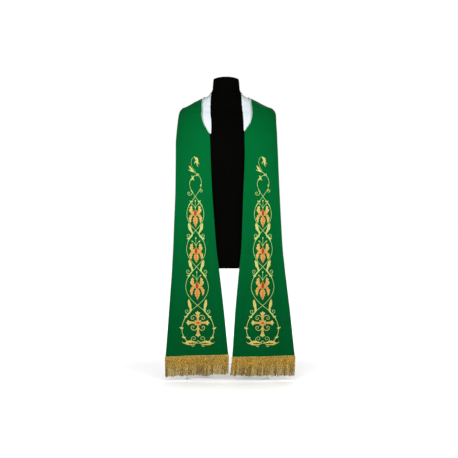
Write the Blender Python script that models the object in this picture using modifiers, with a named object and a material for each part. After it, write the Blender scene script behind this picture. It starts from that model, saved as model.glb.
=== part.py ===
"""A clerical stole laid over a limbless dress form on a twin-post stand. Metres, +Z up, front towards -Y.

The stole is cut in two long halves that are sewn together at the centre back. Each half lies round the
neck, goes over the shoulder and hangs down the front, widening to a fringed hem. A white neck band is sewn
under its neckline. The origin is on the underside of the foot plate, straight below the form's axis.
"""

import math
from collections import namedtuple

import bmesh
import bpy
from mathutils import Vector

# ---- driving dimensions, in metres ----

STOLE_WALL = 0.0020  # face cloth, interlining and turned hems together
BAND_WALL = 0.0012
SEAM_GAP = 0.0004  # air between pieces that are sewn or rest on each other
BAND_CLEARANCE = 0.0014  # from the form to the neck band
STOLE_CLEARANCE = BAND_CLEARANCE + BAND_WALL + 0.0005
BACK_SEAM_HALF = 0.0003  # each half of the stole stays this far from the centre back
BAND_UNDERLAP = 0.10  # share of the stole's width that the neck band reaches under it

HEADING_WALL = 0.0018
HEADING_ABOVE_HEM = 0.0108
HEADING_BELOW_HEM = 0.0020
HEADING_OVERHANG = 0.006  # share of the hem's width that the heading reaches past each edge
STRANDS = 120  # on each fringe
STRAND_SHARE = 0.66  # of a strand's pitch that is thread, and the rest is air
STRAND_SEGMENTS = 2
STRAND_UNEVENNESS = 0.0012  # up and down at the free ends
STRAND_SWAY_X = 0.0002
STRAND_SWAY_Y = 0.0012
STRAND_PHASE = 2.4

ACROSS_CELLS = 11
FORM_SEGMENTS = 48
SHOULDER_STEP = 0.0135  # spacing of the stole's sections round the neck and over the shoulder
HANGING_STEP = 0.046  # and where it hangs

PLATE_WIDTH = 0.360
PLATE_DEPTH = 0.270
PLATE_BACK = 0.055  # the plate's middle lies this far behind the form's axis
PLATE_THICKNESS = 0.008
PLATE_CORNER = 0.030
POST_RADIUS = 0.008
POST_FLANGE_RADIUS = 0.021
POST_FLANGE_THICKNESS = 0.005
POST_SPACING = 0.190
POST_BACK = 0.015

NECK_LEAN = -0.0060  # the form's neck sits to one side of its axis, from LEAN_BOTTOM up to LEAN_TOP
LEAN_BOTTOM = 1.100
LEAN_TOP = 1.200
LEAN_INSIDE = 0.09  # and the lean fades out from here to LEAN_OUTSIDE, on the shoulders
LEAN_OUTSIDE = 0.20
SHOULDER_DROP = 0.0045  # slope of the shoulder line, its left end lower, between CHEST_HEIGHT and NECK_HEIGHT
CHEST_HEIGHT = 1.000
NECK_HEIGHT = 1.250

# ---- the dress form: a row for each level, with rounded sections between half_width, front and back ----

Level = namedtuple("Level", "height half_width front back power")

FORM_LEVELS = (
    Level(0.4828, 0.160, 0.100, 0.096, 2.30),
    Level(0.4900, 0.166, 0.106, 0.102, 2.30),
    Level(0.5600, 0.172, 0.110, 0.112, 2.30),
    Level(0.6500, 0.167, 0.107, 0.110, 2.30),
    Level(0.7500, 0.156, 0.103, 0.097, 2.30),
    Level(0.8400, 0.157, 0.106, 0.093, 2.30),
    Level(0.9300, 0.167, 0.115, 0.100, 2.35),
    Level(1.0000, 0.176, 0.120, 0.107, 2.40),
    Level(1.0600, 0.186, 0.117, 0.111, 2.40),
    Level(1.1100, 0.197, 0.106, 0.110, 2.35),
    Level(1.1480, 0.203, 0.090, 0.104, 2.25),
    Level(1.1660, 0.202, 0.079, 0.098, 2.15),
    Level(1.1775, 0.190, 0.074, 0.094, 2.10),
    Level(1.1880, 0.170, 0.070, 0.090, 2.05),
    Level(1.1978, 0.150, 0.068, 0.086, 2.00),
    Level(1.2090, 0.129, 0.066, 0.082, 2.00),
    Level(1.2205, 0.1060, 0.0645, 0.078, 2.00),
    Level(1.2290, 0.0890, 0.0630, 0.074, 2.00),
    Level(1.2370, 0.0765, 0.0620, 0.070, 2.00),
    Level(1.2460, 0.0682, 0.0610, 0.067, 2.00),
    Level(1.2550, 0.0640, 0.0592, 0.0635, 2.00),
    Level(1.2625, 0.0617, 0.0575, 0.0610, 2.00),
)

CAP_LEVELS = (
    Level(1.2628, 0.0600, 0.0565, 0.0590, 2.00),
    Level(1.2850, 0.0585, 0.0550, 0.0575, 2.00),
    Level(1.3080, 0.0560, 0.0530, 0.0550, 2.00),
    Level(1.3125, 0.0538, 0.0508, 0.0527, 2.00),
    Level(1.3165, 0.0430, 0.0410, 0.0420, 2.00),
    Level(1.3200, 0.0280, 0.0270, 0.0275, 2.00),
    Level(1.3215, 0.0120, 0.0115, 0.0120, 2.00),
)

# The shape that the cloth hangs over: the form's shoulders, then a front that drops plumb from the chest.
DRAPE_LEVELS = (
    Level(0.0000, 0.520, 0.1215, 0.110, 2.40),
    Level(0.4500, 0.410, 0.1215, 0.110, 2.40),
    Level(0.7800, 0.320, 0.1215, 0.110, 2.40),
    Level(0.9450, 0.275, 0.1215, 0.110, 2.40),
    Level(1.0000, 0.261, 0.1210, 0.110, 2.40),
    Level(1.0600, 0.246, 0.1175, 0.111, 2.40),
    Level(1.1100, 0.232, 0.1065, 0.110, 2.35),
    Level(1.1480, 0.219, 0.0905, 0.104, 2.25),
    Level(1.1670, 0.2050, 0.0785, 0.098, 2.15),
    Level(1.1795, 0.190, 0.074, 0.094, 2.10),
) + FORM_LEVELS[13:]

# ---- the stole: a row for each section, from the centre back over the shoulder to the hem ----
# x is the distance from the centre line, and y only matters above SHOULDER_HEIGHT.

Section = namedtuple("Section", "inner_x inner_y inner_z outer_x outer_y outer_z")

RIGHT_HAND_SECTIONS = (  # the half that hangs at -X
    Section(0.0000, 0.084, 1.2150, 0.0000, 0.112, 1.1000),
    Section(0.0460, 0.078, 1.2170, 0.0720, 0.108, 1.1040),
    Section(0.0780, 0.058, 1.2210, 0.1380, 0.092, 1.1180),
    Section(0.0930, 0.029, 1.2270, 0.1870, 0.060, 1.1440),
    Section(0.0980, 0.000, 1.2300, 0.2050, 0.020, 1.1700),
    Section(0.1002, -0.026, 1.2210, 0.2075, -0.008, 1.1710),
    Section(0.1032, -0.050, 1.2020, 0.2105, -0.026, 1.1600),
    Section(0.1049, -0.072, 1.1720, 0.2165, -0.038, 1.1480),
    Section(0.1067, -0.088, 1.1400, 0.2178, -0.046, 1.1330),
    Section(0.1043, -0.098, 1.1170, 0.2172, -0.053, 1.1160),
    Section(0.0998, -0.105, 1.1030, 0.2184, -0.058, 1.1000),
    Section(0.0878, -0.112, 1.0830, 0.2200, -0.064, 1.0800),
    Section(0.0765, -0.116, 1.0610, 0.2218, -0.068, 1.0590),
    Section(0.0737, -0.120, 1.0200, 0.2240, -0.075, 1.0200),
    Section(0.0728, -0.121, 0.9860, 0.2237, -0.080, 0.9860),
    Section(0.0698, -0.121, 0.9040, 0.2238, -0.088, 0.9040),
    Section(0.0658, -0.121, 0.8220, 0.2245, -0.094, 0.8220),
    Section(0.0558, -0.121, 0.6830, 0.2294, -0.100, 0.6830),
    Section(0.0470, -0.121, 0.5690, 0.2335, -0.104, 0.5690),
    Section(0.0360, -0.121, 0.4850, 0.2380, -0.106, 0.4850),
    Section(0.0128, -0.121, 0.2830, 0.2524, -0.109, 0.2830),
    Section(-0.0050, -0.121, 0.1040, 0.2666, -0.110, 0.0940),
)

LEFT_HAND_SECTIONS = (  # the half that hangs at +X
    Section(0.0000, 0.084, 1.2150, 0.0000, 0.112, 1.1000),
    Section(0.0460, 0.078, 1.2170, 0.0720, 0.108, 1.1040),
    Section(0.0780, 0.058, 1.2210, 0.1380, 0.092, 1.1180),
    Section(0.0950, 0.029, 1.2270, 0.1870, 0.060, 1.1440),
    Section(0.0995, 0.000, 1.2310, 0.2050, 0.020, 1.1700),
    Section(0.1030, -0.026, 1.2220, 0.2075, -0.008, 1.1710),
    Section(0.1070, -0.050, 1.2020, 0.2098, -0.026, 1.1600),
    Section(0.1095, -0.072, 1.1720, 0.2110, -0.038, 1.1480),
    Section(0.1070, -0.088, 1.1430, 0.2112, -0.046, 1.1350),
    Section(0.1027, -0.098, 1.1240, 0.2112, -0.053, 1.1210),
    Section(0.0960, -0.105, 1.1080, 0.2118, -0.058, 1.1060),
    Section(0.0822, -0.112, 1.0900, 0.2133, -0.064, 1.0880),
    Section(0.0730, -0.116, 1.0730, 0.2146, -0.068, 1.0690),
    Section(0.0728, -0.120, 1.0300, 0.2158, -0.075, 1.0300),
    Section(0.0740, -0.121, 0.9900, 0.2175, -0.080, 0.9900),
    Section(0.0725, -0.121, 0.9200, 0.2201, -0.088, 0.9200),
    Section(0.0685, -0.121, 0.8300, 0.2238, -0.094, 0.8300),
    Section(0.0633, -0.121, 0.6830, 0.2308, -0.100, 0.6830),
    Section(0.0585, -0.121, 0.5690, 0.2374, -0.104, 0.5690),
    Section(0.0500, -0.121, 0.4850, 0.2464, -0.106, 0.4850),
    Section(0.0315, -0.121, 0.2830, 0.2705, -0.109, 0.2830),
    Section(0.0195, -0.121, 0.0940, 0.2898, -0.110, 0.0980),
)

# Soft vertical folds that open towards the hem: where across the width, how wide, and how deep at the hem.
Fold = namedtuple("Fold", "across width depth")

RIGHT_HAND_FOLDS = (Fold(0.14, 0.13, 0.008), Fold(0.55, 0.17, -0.007), Fold(0.90, 0.12, 0.006))
LEFT_HAND_FOLDS = (Fold(0.10, 0.12, 0.006), Fold(0.46, 0.16, 0.008), Fold(0.84, 0.13, -0.007))
FOLD_TOP = 0.950
FOLD_BOTTOM = 0.100

# The neck band's free edge beside each of the stole's first sections, and its rise above the stole's edge.
Edge = namedtuple("Edge", "x y rise")

NECK_BAND_EDGES = (
    Edge(0.0000, 0.0655, 0.041),
    Edge(0.0340, 0.0565, 0.038),
    Edge(0.0560, 0.0350, 0.032),
    Edge(0.0640, 0.0120, 0.022),
    Edge(0.0655, -0.0060, 0.015),
    Edge(0.0650, -0.0270, 0.017),
    Edge(0.0650, -0.0460, 0.017),
    Edge(0.0686, -0.0680, 0.0145),
    Edge(0.0702, -0.0850, 0.016),
    Edge(0.0697, -0.0960, 0.015),
    Edge(0.0692, -0.1040, 0.009),
    Edge(0.0694, -0.1120, 0.006),
    Edge(0.0700, -0.1160, 0.003),
)
BAND_VISIBLE = 0.75  # share of the neck band's rows that shows beyond the stole

# Where the strands end at the hem's inner and outer corner: their height, and how far outwards they lean.
StrandEnds = namedtuple("StrandEnds", "inner_height inner_lean outer_height outer_lean")

RIGHT_HAND_ENDS = StrandEnds(inner_height=0.0322, inner_lean=0.001, outer_height=0.0175, outer_lean=-0.001)
LEFT_HAND_ENDS = StrandEnds(inner_height=0.0245, inner_lean=-0.008, outer_height=0.0200, outer_lean=-0.003)

SHOULDER_HEIGHT = 1.080  # above it the cloth is laid from inside the form, below it straight from behind
SHOULDER_TOP = 1.160
BISECTIONS = 26

Half = namedtuple("Half", "name side sections folds ends")

HALVES = (
    Half("right", -1, RIGHT_HAND_SECTIONS, RIGHT_HAND_FOLDS, RIGHT_HAND_ENDS),
    Half("left", 1, LEFT_HAND_SECTIONS, LEFT_HAND_FOLDS, LEFT_HAND_ENDS),
)


# ---- curves and surfaces ----


def smooth_step(low, high, value):
    share = min(1.0, max(0.0, (value - low) / (high - low)))
    return share * share * (3 - 2 * share)


def slopes_of(stations, values):
    """Slopes at the stations of a smooth curve that never overshoots its values."""
    steps = [b - a for a, b in zip(stations, stations[1:])]
    chords = [(b - a) / step for a, b, step in zip(values, values[1:], steps)]
    slopes = [chords[0]]
    for k in range(1, len(chords)):
        before, after = chords[k - 1], chords[k]
        if before * after <= 0:
            slopes.append(0.0)
            continue
        heavy = 2 * steps[k] + steps[k - 1]
        light = steps[k] + 2 * steps[k - 1]
        slopes.append((heavy + light) / (heavy / before + light / after))
    slopes.append(chords[-1])
    return slopes


class SmoothTable:
    """Rows of numbers joined by a smooth curve, read at any station."""

    def __init__(self, stations, rows):
        self.stations = list(stations)
        self.columns = [list(column) for column in zip(*rows)]
        self.slopes = [slopes_of(self.stations, column) for column in self.columns]

    def at(self, station):
        station = min(self.stations[-1], max(self.stations[0], station))
        k = 0
        while k < len(self.stations) - 2 and station > self.stations[k + 1]:
            k += 1
        step = self.stations[k + 1] - self.stations[k]
        u = (station - self.stations[k]) / step
        from_value = 2 * u**3 - 3 * u**2 + 1
        from_slope = u**3 - 2 * u**2 + u
        to_value = 3 * u**2 - 2 * u**3
        to_slope = u**3 - u**2
        return [
            from_value * column[k]
            + from_slope * step * slope[k]
            + to_value * column[k + 1]
            + to_slope * step * slope[k + 1]
            for column, slope in zip(self.columns, self.slopes)
        ]


def level_table(levels):
    return SmoothTable([level.height for level in levels], [level[1:] for level in levels])


DRAPE = level_table(DRAPE_LEVELS)


def reach(point):
    """0 on the drape's surface, above 0 outside it."""
    half_width, front, back, power = DRAPE.at(point.z)
    depth = front if point.y < 0 else back
    return (abs(point.x / half_width) ** power + abs(point.y / depth) ** power) ** (1 / power) - 1


def distance_out(point):
    """About how far a point is outside the drape's surface."""
    tiny = 1e-4
    here = reach(point)
    axes = (Vector((1, 0, 0)), Vector((0, 1, 0)), Vector((0, 0, 1)))
    slope = Vector([(reach(point + tiny * axis) - here) / tiny for axis in axes])
    return here / slope.length


def leaned(point):
    """A point of the upright form, or of the cloth on it, moved with the form's neck and shoulder line."""
    x, y, height = point
    near_neck = 1 - smooth_step(LEAN_INSIDE, LEAN_OUTSIDE, abs(x))
    lean = NECK_LEAN * near_neck * smooth_step(LEAN_BOTTOM, LEAN_TOP, height)
    below_neck = 1 - smooth_step(LEAN_TOP, NECK_HEIGHT, height)
    drop = SHOULDER_DROP * x * below_neck * smooth_step(CHEST_HEIGHT, LEAN_BOTTOM, height)
    return Vector((x + lean, y, height - drop))


def laid_on_drape(guide, clearance):
    """The point at that clearance from the drape on the line from inside the form through guide."""
    turned = 1 - 0.5 * smooth_step(SHOULDER_HEIGHT, SHOULDER_TOP, guide.z)
    start = Vector((turned * guide.x, 0, min(guide.z, SHOULDER_HEIGHT)))
    heading = guide - start
    near, far = 0.2, 3.0
    for _ in range(BISECTIONS):
        middle = (near + far) / 2
        if distance_out(start + middle * heading) < clearance:
            near = middle
        else:
            far = middle
    return start + near * heading


class StoleHalf:
    """The surface of one half of the stole, by distance along it and share across it."""

    def __init__(self, half):
        self.half = half
        middles = [
            Vector((row.inner_x + row.outer_x, row.inner_y + row.outer_y, row.inner_z + row.outer_z)) / 2
            for row in half.sections
        ]
        self.stations = [0.0]
        for before, after in zip(middles, middles[1:]):
            self.stations.append(self.stations[-1] + (after - before).length)
        self.edges = SmoothTable(self.stations, half.sections)
        self.band = SmoothTable(self.stations[: len(NECK_BAND_EDGES)], NECK_BAND_EDGES)

    def sections(self):
        """Distances along the half, close together over the shoulder and wide apart below."""
        found = [0.0]
        end = self.stations[-1]
        while found[-1] < end:
            row = Section(*self.edges.at(found[-1]))
            close = smooth_step(0.95, SHOULDER_HEIGHT, row.inner_z)
            found.append(found[-1] + HANGING_STEP + (SHOULDER_STEP - HANGING_STEP) * close)
        stretch = end / found[-1]
        return [stretch * value for value in found]

    def fold(self, across, height):
        grown = smooth_step(FOLD_TOP, FOLD_BOTTOM, height)
        return grown * sum(
            fold.depth * math.exp(-(((across - fold.across) / fold.width) ** 2)) for fold in self.half.folds
        )

    def placed(self, guide, across, clearance):
        point = laid_on_drape(guide, clearance)
        point.y -= self.fold(across, point.z)
        point.x = self.half.side * (point.x + BACK_SEAM_HALF)
        return leaned(point)

    def point(self, along, across, clearance):
        row = Section(*self.edges.at(along))
        inner = Vector((row.inner_x, row.inner_y, row.inner_z))
        outer = Vector((row.outer_x, row.outer_y, row.outer_z))
        return self.placed(inner.lerp(outer, across), across, clearance)

    def band_point(self, along, share, clearance):
        """On the neck band: share 0 is its free edge at the neck, 1 its edge under the stole."""
        free_x, free_y, rise = self.band.at(along)
        row = Section(*self.edges.at(along))
        inner = Vector((row.inner_x, row.inner_y, row.inner_z))
        outer = Vector((row.outer_x, row.outer_y, row.outer_z))
        free = Vector((free_x, free_y, row.inner_z + rise))
        if share < BAND_VISIBLE:
            guide = free.lerp(inner, share / BAND_VISIBLE)
        else:
            guide = inner.lerp(outer, BAND_UNDERLAP * (share - BAND_VISIBLE) / (1 - BAND_VISIBLE))
        return self.placed(guide, 0.0, clearance)


# ---- making objects ----


def clear_scene():
    for obj in list(bpy.data.objects):
        bpy.data.objects.remove(obj)


def finish_of(name, colour, roughness, metallic=0.0):
    material = bpy.data.materials.new(name)
    material.use_nodes = True
    shader = material.node_tree.nodes["Principled BSDF"]
    shader.inputs["Base Color"].default_value = (*colour, 1.0)
    shader.inputs["Roughness"].default_value = roughness
    shader.inputs["Metallic"].default_value = metallic
    return material


def add_object(name, mesh, material, parent):
    obj = bpy.data.objects.new(name, mesh)
    obj.parent = parent
    obj.data.materials.append(material)
    parent.users_collection[0].objects.link(obj)
    return obj


def mesh_from(name, bm):
    bmesh.ops.recalc_face_normals(bm, faces=bm.faces)
    mesh = bpy.data.meshes.new(name)
    bm.to_mesh(mesh)
    bm.free()
    mesh.shade_smooth()
    mesh.set_sharp_from_angle(angle=math.radians(50))
    return mesh


def sheet_of(name, rows):
    """An open sheet of quads through rows of points, its normals away from the form."""
    bm = bmesh.new()
    grid = [[bm.verts.new(point) for point in row] for row in rows]
    for row, following in zip(grid, grid[1:]):
        for k in range(len(row) - 1):
            bm.faces.new((row[k], row[k + 1], following[k + 1], following[k]))
    bm.normal_update()
    middle = bm.faces[:][len(bm.faces) // 2]
    if middle.normal.dot(middle.calc_center_median() - Vector((0, 0, SHOULDER_HEIGHT))) < 0:
        bmesh.ops.reverse_faces(bm, faces=bm.faces)
    mesh = bpy.data.meshes.new(name)
    bm.to_mesh(mesh)
    bm.free()
    mesh.shade_smooth()
    return mesh


def thicken(obj, thickness):
    solidify = obj.modifiers.new("wall", "SOLIDIFY")
    solidify.thickness = thickness
    solidify.offset = 1
    solidify.use_even_offset = True


def loft_of(name, levels):
    """A closed body through rounded sections, one for each level."""
    bm = bmesh.new()
    rings = []
    for height, half_width, front, back, power in levels:
        ring = []
        for k in range(FORM_SEGMENTS):
            angle = 2 * math.pi * k / FORM_SEGMENTS
            across, deep = math.cos(angle), math.sin(angle)
            x = half_width * math.copysign(abs(across) ** (2 / power), across)
            y = (back if deep > 0 else front) * math.copysign(abs(deep) ** (2 / power), deep)
            ring.append(bm.verts.new(leaned((x, y, height))))
        rings.append(ring)
    for ring, above in zip(rings, rings[1:]):
        for k in range(FORM_SEGMENTS):
            following = (k + 1) % FORM_SEGMENTS
            bm.faces.new((ring[k], ring[following], above[following], above[k]))
    bm.faces.new(reversed(rings[0]))
    bm.faces.new(rings[-1])
    return mesh_from(name, bm)


# ---- the pieces ----


def make_stole_half(surface, material, parent):
    name = f"stole_{surface.half.name}"
    rows = [
        [surface.point(along, k / ACROSS_CELLS, STOLE_CLEARANCE) for k in range(ACROSS_CELLS + 1)]
        for along in surface.sections()
    ]
    obj = add_object(name, sheet_of(name, rows), material, parent)
    thicken(obj, STOLE_WALL)


def make_neck_band(surfaces, material, parent):
    """One band from front end to front end round the neck, on the same sections as the stole."""
    shares = (0.0, BAND_VISIBLE / 2, BAND_VISIBLE, 1.0)
    sides = []
    for surface in surfaces:
        end = surface.stations[len(NECK_BAND_EDGES) - 1]
        sections = [along for along in surface.sections() if along < end] + [end]
        sides.append(
            [[surface.band_point(along, share, BAND_CLEARANCE) for share in shares] for along in sections]
        )
    right, left = sides
    for point in right[0]:
        point.x = 0.0  # the band has no seam at the centre back
    rows = list(reversed(right)) + left[1:]
    obj = add_object("neck_band", sheet_of("neck_band", rows), material, parent)
    thicken(obj, BAND_WALL)


def heading_edges():
    """Shares across the hem of the heading's cells, which are air and strand by turns."""
    span = 1 + 2 * HEADING_OVERHANG
    pitch = span / (STRANDS + 1 - STRAND_SHARE)
    edges = [-HEADING_OVERHANG]
    for _ in range(STRANDS):
        edges.append(edges[-1] + (1 - STRAND_SHARE) * pitch)
        edges.append(edges[-1] + STRAND_SHARE * pitch)
    edges.append(1 + HEADING_OVERHANG)
    return edges


def on_facets(columns, across):
    """The point at that share of the width, on the straight stretches between the columns."""
    place = across * (len(columns) - 1)
    k = min(len(columns) - 2, max(0, math.floor(place)))
    return columns[k].lerp(columns[k + 1], place - k)


def draw_strand(bm, root, number, surface):
    """Draws one cell of the heading's lower face down to its free end."""
    ends, side = surface.half.ends, surface.half.side
    across = number / (STRANDS - 1)
    height = ends.inner_height + across * (ends.outer_height - ends.inner_height)
    height += STRAND_UNEVENNESS * math.sin(STRAND_PHASE * number)
    lean = ends.inner_lean + across * (ends.outer_lean - ends.inner_lean)
    drop = (root.calc_center_median().z - height) / STRAND_SEGMENTS
    face = root
    for segment in range(1, STRAND_SEGMENTS + 1):
        sway_x = STRAND_SWAY_X * math.sin(STRAND_PHASE * (number + 5 * segment))
        sway_y = STRAND_SWAY_Y * math.sin(STRAND_PHASE * (2 * number + 3 * segment))
        face = bmesh.ops.extrude_discrete_faces(bm, faces=[face])["faces"][0]
        step = Vector((side * lean / STRAND_SEGMENTS + sway_x, sway_y, -drop))
        bmesh.ops.translate(bm, verts=face.verts, vec=step)


def make_fringe(surface, material, parent):
    """A heading that lies on the hem, with strands drawn down from its lower edge."""
    name = f"fringe_{surface.half.name}"
    end = surface.stations[-1]
    clearance = STOLE_CLEARANCE + STOLE_WALL + SEAM_GAP
    above = Vector((0, 0, HEADING_ABOVE_HEM))
    below = Vector((0, 0, HEADING_BELOW_HEM))
    bm = bmesh.new()
    columns = [surface.point(end, k / ACROSS_CELLS, clearance) for k in range(ACROSS_CELLS + 1)]
    hem = [on_facets(columns, across) for across in heading_edges()]
    top = [bm.verts.new(point + above) for point in hem]
    low = [bm.verts.new(point - below) for point in hem]
    cells = [bm.faces.new((top[k], top[k + 1], low[k + 1], low[k])) for k in range(len(hem) - 1)]
    raised = bmesh.ops.extrude_face_region(bm, geom=cells)["geom"]
    front = [item for item in raised if isinstance(item, bmesh.types.BMVert)]
    bmesh.ops.translate(bm, verts=front, vec=(0, -HEADING_WALL, 0))
    bmesh.ops.recalc_face_normals(bm, faces=bm.faces)
    underside = [face for face in bm.faces if face.normal.z < -0.5]
    underside.sort(key=lambda face: surface.half.side * face.calc_center_median().x)
    for number, root in enumerate(underside[1::2]):
        draw_strand(bm, root, number, surface)
    add_object(name, mesh_from(name, bm), material, parent)


def make_plate(material, parent):
    bm = bmesh.new()
    bmesh.ops.create_cube(bm, size=1.0)
    bmesh.ops.scale(bm, verts=bm.verts, vec=(PLATE_WIDTH, PLATE_DEPTH, PLATE_THICKNESS))
    bmesh.ops.translate(bm, verts=bm.verts, vec=(0, PLATE_BACK, PLATE_THICKNESS / 2))
    upright = PLATE_THICKNESS / 2
    corners = [edge for edge in bm.edges if abs(edge.verts[0].co.z - edge.verts[1].co.z) > upright]
    bmesh.ops.bevel(bm, geom=corners, offset=PLATE_CORNER, segments=6, profile=0.5, affect="EDGES")
    add_object("stand_plate", mesh_from("stand_plate", bm), material, parent)


def make_post(name, x, material, parent):
    """A tube with a flange at each end, turned from its profile."""
    low = PLATE_THICKNESS + SEAM_GAP
    high = FORM_LEVELS[0].height - SEAM_GAP
    profile = (
        (0.0, high),
        (POST_FLANGE_RADIUS, high),
        (POST_FLANGE_RADIUS, high - POST_FLANGE_THICKNESS),
        (POST_RADIUS, high - POST_FLANGE_THICKNESS),
        (POST_RADIUS, low + POST_FLANGE_THICKNESS),
        (POST_FLANGE_RADIUS, low + POST_FLANGE_THICKNESS),
        (POST_FLANGE_RADIUS, low),
        (0.0, low),
    )
    corners = [(radius, 0.0, height) for radius, height in profile]
    mesh = bpy.data.meshes.new(name)
    mesh.from_pydata(corners, [(k, k + 1) for k in range(len(corners) - 1)], [])
    obj = add_object(name, mesh, material, parent)
    obj.location = (x, POST_BACK, 0)
    screw = obj.modifiers.new("turned", "SCREW")
    screw.steps = screw.render_steps = 20
    screw.use_merge_vertices = True
    screw.merge_threshold = 1e-5


def main():
    clear_scene()
    collection = bpy.data.collections.new("stole_on_dress_form")
    bpy.context.scene.collection.children.link(collection)
    origin = bpy.data.objects.new("origin", None)
    collection.objects.link(origin)
    green = finish_of("green_cloth", (0.010, 0.130, 0.032), 0.75)
    white = finish_of("white_cloth", (0.76, 0.82, 0.86), 0.80)
    gold = finish_of("gold_thread", (0.47, 0.31, 0.08), 0.45, 0.3)
    black = finish_of("black_jersey", (0.004, 0.004, 0.004), 0.85)
    enamel = finish_of("white_enamel", (0.80, 0.80, 0.79), 0.40)

    add_object("dress_form", loft_of("dress_form", FORM_LEVELS), black, origin)
    add_object("neck_cap", loft_of("neck_cap", CAP_LEVELS), black, origin)
    surfaces = [StoleHalf(half) for half in HALVES]
    for surface in surfaces:
        make_stole_half(surface, green, origin)
        make_fringe(surface, gold, origin)
    make_neck_band(surfaces, white, origin)
    make_plate(enamel, origin)
    make_post("post_right", -POST_SPACING / 2, enamel, origin)
    make_post("post_left", POST_SPACING / 2, enamel, origin)


main()
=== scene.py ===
"""The looks of the clerical stole on its dress form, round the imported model. Metres, +Z up, front at -Y.

The cloth is drawn again on the same sections as the solids, with finer cells, rounded edges and creases.
The embroidery is drawn as satin strokes in millimetres from the middle of each band and laid on the cloth.
"""

import math
from collections import namedtuple

import bpy
import numpy as np
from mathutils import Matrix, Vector


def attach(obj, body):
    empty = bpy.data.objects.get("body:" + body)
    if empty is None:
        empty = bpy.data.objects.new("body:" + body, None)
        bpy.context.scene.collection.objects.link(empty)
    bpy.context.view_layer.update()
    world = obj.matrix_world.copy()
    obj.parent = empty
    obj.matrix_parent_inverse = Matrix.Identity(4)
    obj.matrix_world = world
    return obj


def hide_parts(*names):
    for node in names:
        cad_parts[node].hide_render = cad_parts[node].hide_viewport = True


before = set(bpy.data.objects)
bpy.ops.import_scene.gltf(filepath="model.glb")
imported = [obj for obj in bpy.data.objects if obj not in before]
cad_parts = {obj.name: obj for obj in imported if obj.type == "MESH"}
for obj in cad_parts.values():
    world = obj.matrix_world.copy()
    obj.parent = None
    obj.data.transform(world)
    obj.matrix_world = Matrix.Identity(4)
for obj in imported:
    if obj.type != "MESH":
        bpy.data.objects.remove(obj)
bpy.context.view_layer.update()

MM = 0.001


def table(kind, *rows):
    """Rows of numbers, with a name for each column."""
    return tuple(kind(*row) for row in rows)


# ---- the cloth's sizes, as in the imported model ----

STOLE_WALL = 0.0020
BAND_WALL = 0.0012
BAND_CLEARANCE = 0.0014
STOLE_CLEARANCE = BAND_CLEARANCE + BAND_WALL + 0.0005
BACK_SEAM_HALF = 0.0003
BAND_UNDERLAP = 0.10  # of the stole's width: how far the band reaches under it
BAND_VISIBLE = 0.75  # of the band's own width
NECK_LINE_OVER = 0.0040  # how far the green covers the band past its solid's edge

NECK_LEAN = -0.0060
LEAN_BOTTOM = 1.100
LEAN_TOP = 1.200
LEAN_INSIDE = 0.09
LEAN_OUTSIDE = 0.20
SHOULDER_DROP = 0.0045
CHEST_HEIGHT = 1.000
NECK_HEIGHT = 1.250
SHOULDER_HEIGHT = 1.080
SHOULDER_TOP = 1.160
FOLD_TOP = 0.950
FOLD_BOTTOM = 0.100
BISECTIONS = 24
FIRST_HANGING = 6  # the first of the sections that run down the front

# A level of a body: its half width, its depths to the front and the back, and how square its corners are.
Level = namedtuple("Level", "height half_width front back power")

FORM_LEVELS = table(
    Level,
    (0.4828, 0.160, 0.100, 0.096, 2.30),
    (0.4900, 0.166, 0.106, 0.102, 2.30),
    (0.5600, 0.172, 0.110, 0.112, 2.30),
    (0.6500, 0.167, 0.107, 0.110, 2.30),
    (0.7500, 0.156, 0.103, 0.097, 2.30),
    (0.8400, 0.157, 0.106, 0.093, 2.30),
    (0.9300, 0.167, 0.115, 0.100, 2.35),
    (1.0000, 0.176, 0.120, 0.107, 2.40),
    (1.0600, 0.186, 0.117, 0.111, 2.40),
    (1.1100, 0.197, 0.106, 0.110, 2.35),
    (1.1480, 0.203, 0.090, 0.104, 2.25),
    (1.1660, 0.202, 0.079, 0.098, 2.15),
    (1.1775, 0.190, 0.074, 0.094, 2.10),
    (1.1880, 0.170, 0.070, 0.090, 2.05),
    (1.1978, 0.150, 0.068, 0.086, 2.00),
    (1.2090, 0.129, 0.066, 0.082, 2.00),
    (1.2205, 0.1060, 0.0645, 0.078, 2.00),
    (1.2290, 0.0890, 0.0630, 0.074, 2.00),
    (1.2370, 0.0765, 0.0620, 0.070, 2.00),
    (1.2460, 0.0682, 0.0610, 0.067, 2.00),
    (1.2550, 0.0640, 0.0592, 0.0635, 2.00),
    (1.2625, 0.0617, 0.0575, 0.0610, 2.00),
)

CAP_LEVELS = table(
    Level,
    (1.2628, 0.0600, 0.0565, 0.0590, 2.00),
    (1.2850, 0.0585, 0.0550, 0.0575, 2.00),
    (1.3080, 0.0560, 0.0530, 0.0550, 2.00),
    (1.3125, 0.0538, 0.0508, 0.0527, 2.00),
    (1.3165, 0.0430, 0.0410, 0.0420, 2.00),
    (1.3200, 0.0280, 0.0270, 0.0275, 2.00),
    (1.3215, 0.0120, 0.0115, 0.0120, 2.00),
)

DRAPE_LEVELS = table(
    Level,
    (0.0000, 0.520, 0.1215, 0.110, 2.40),
    (0.4500, 0.410, 0.1215, 0.110, 2.40),
    (0.7800, 0.320, 0.1215, 0.110, 2.40),
    (0.9450, 0.275, 0.1215, 0.110, 2.40),
    (1.0000, 0.261, 0.1210, 0.110, 2.40),
    (1.0600, 0.246, 0.1175, 0.111, 2.40),
    (1.1100, 0.232, 0.1065, 0.110, 2.35),
    (1.1480, 0.219, 0.0905, 0.104, 2.25),
    (1.1670, 0.2050, 0.0785, 0.098, 2.15),
    (1.1795, 0.190, 0.074, 0.094, 2.10),
) + FORM_LEVELS[13:]

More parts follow.
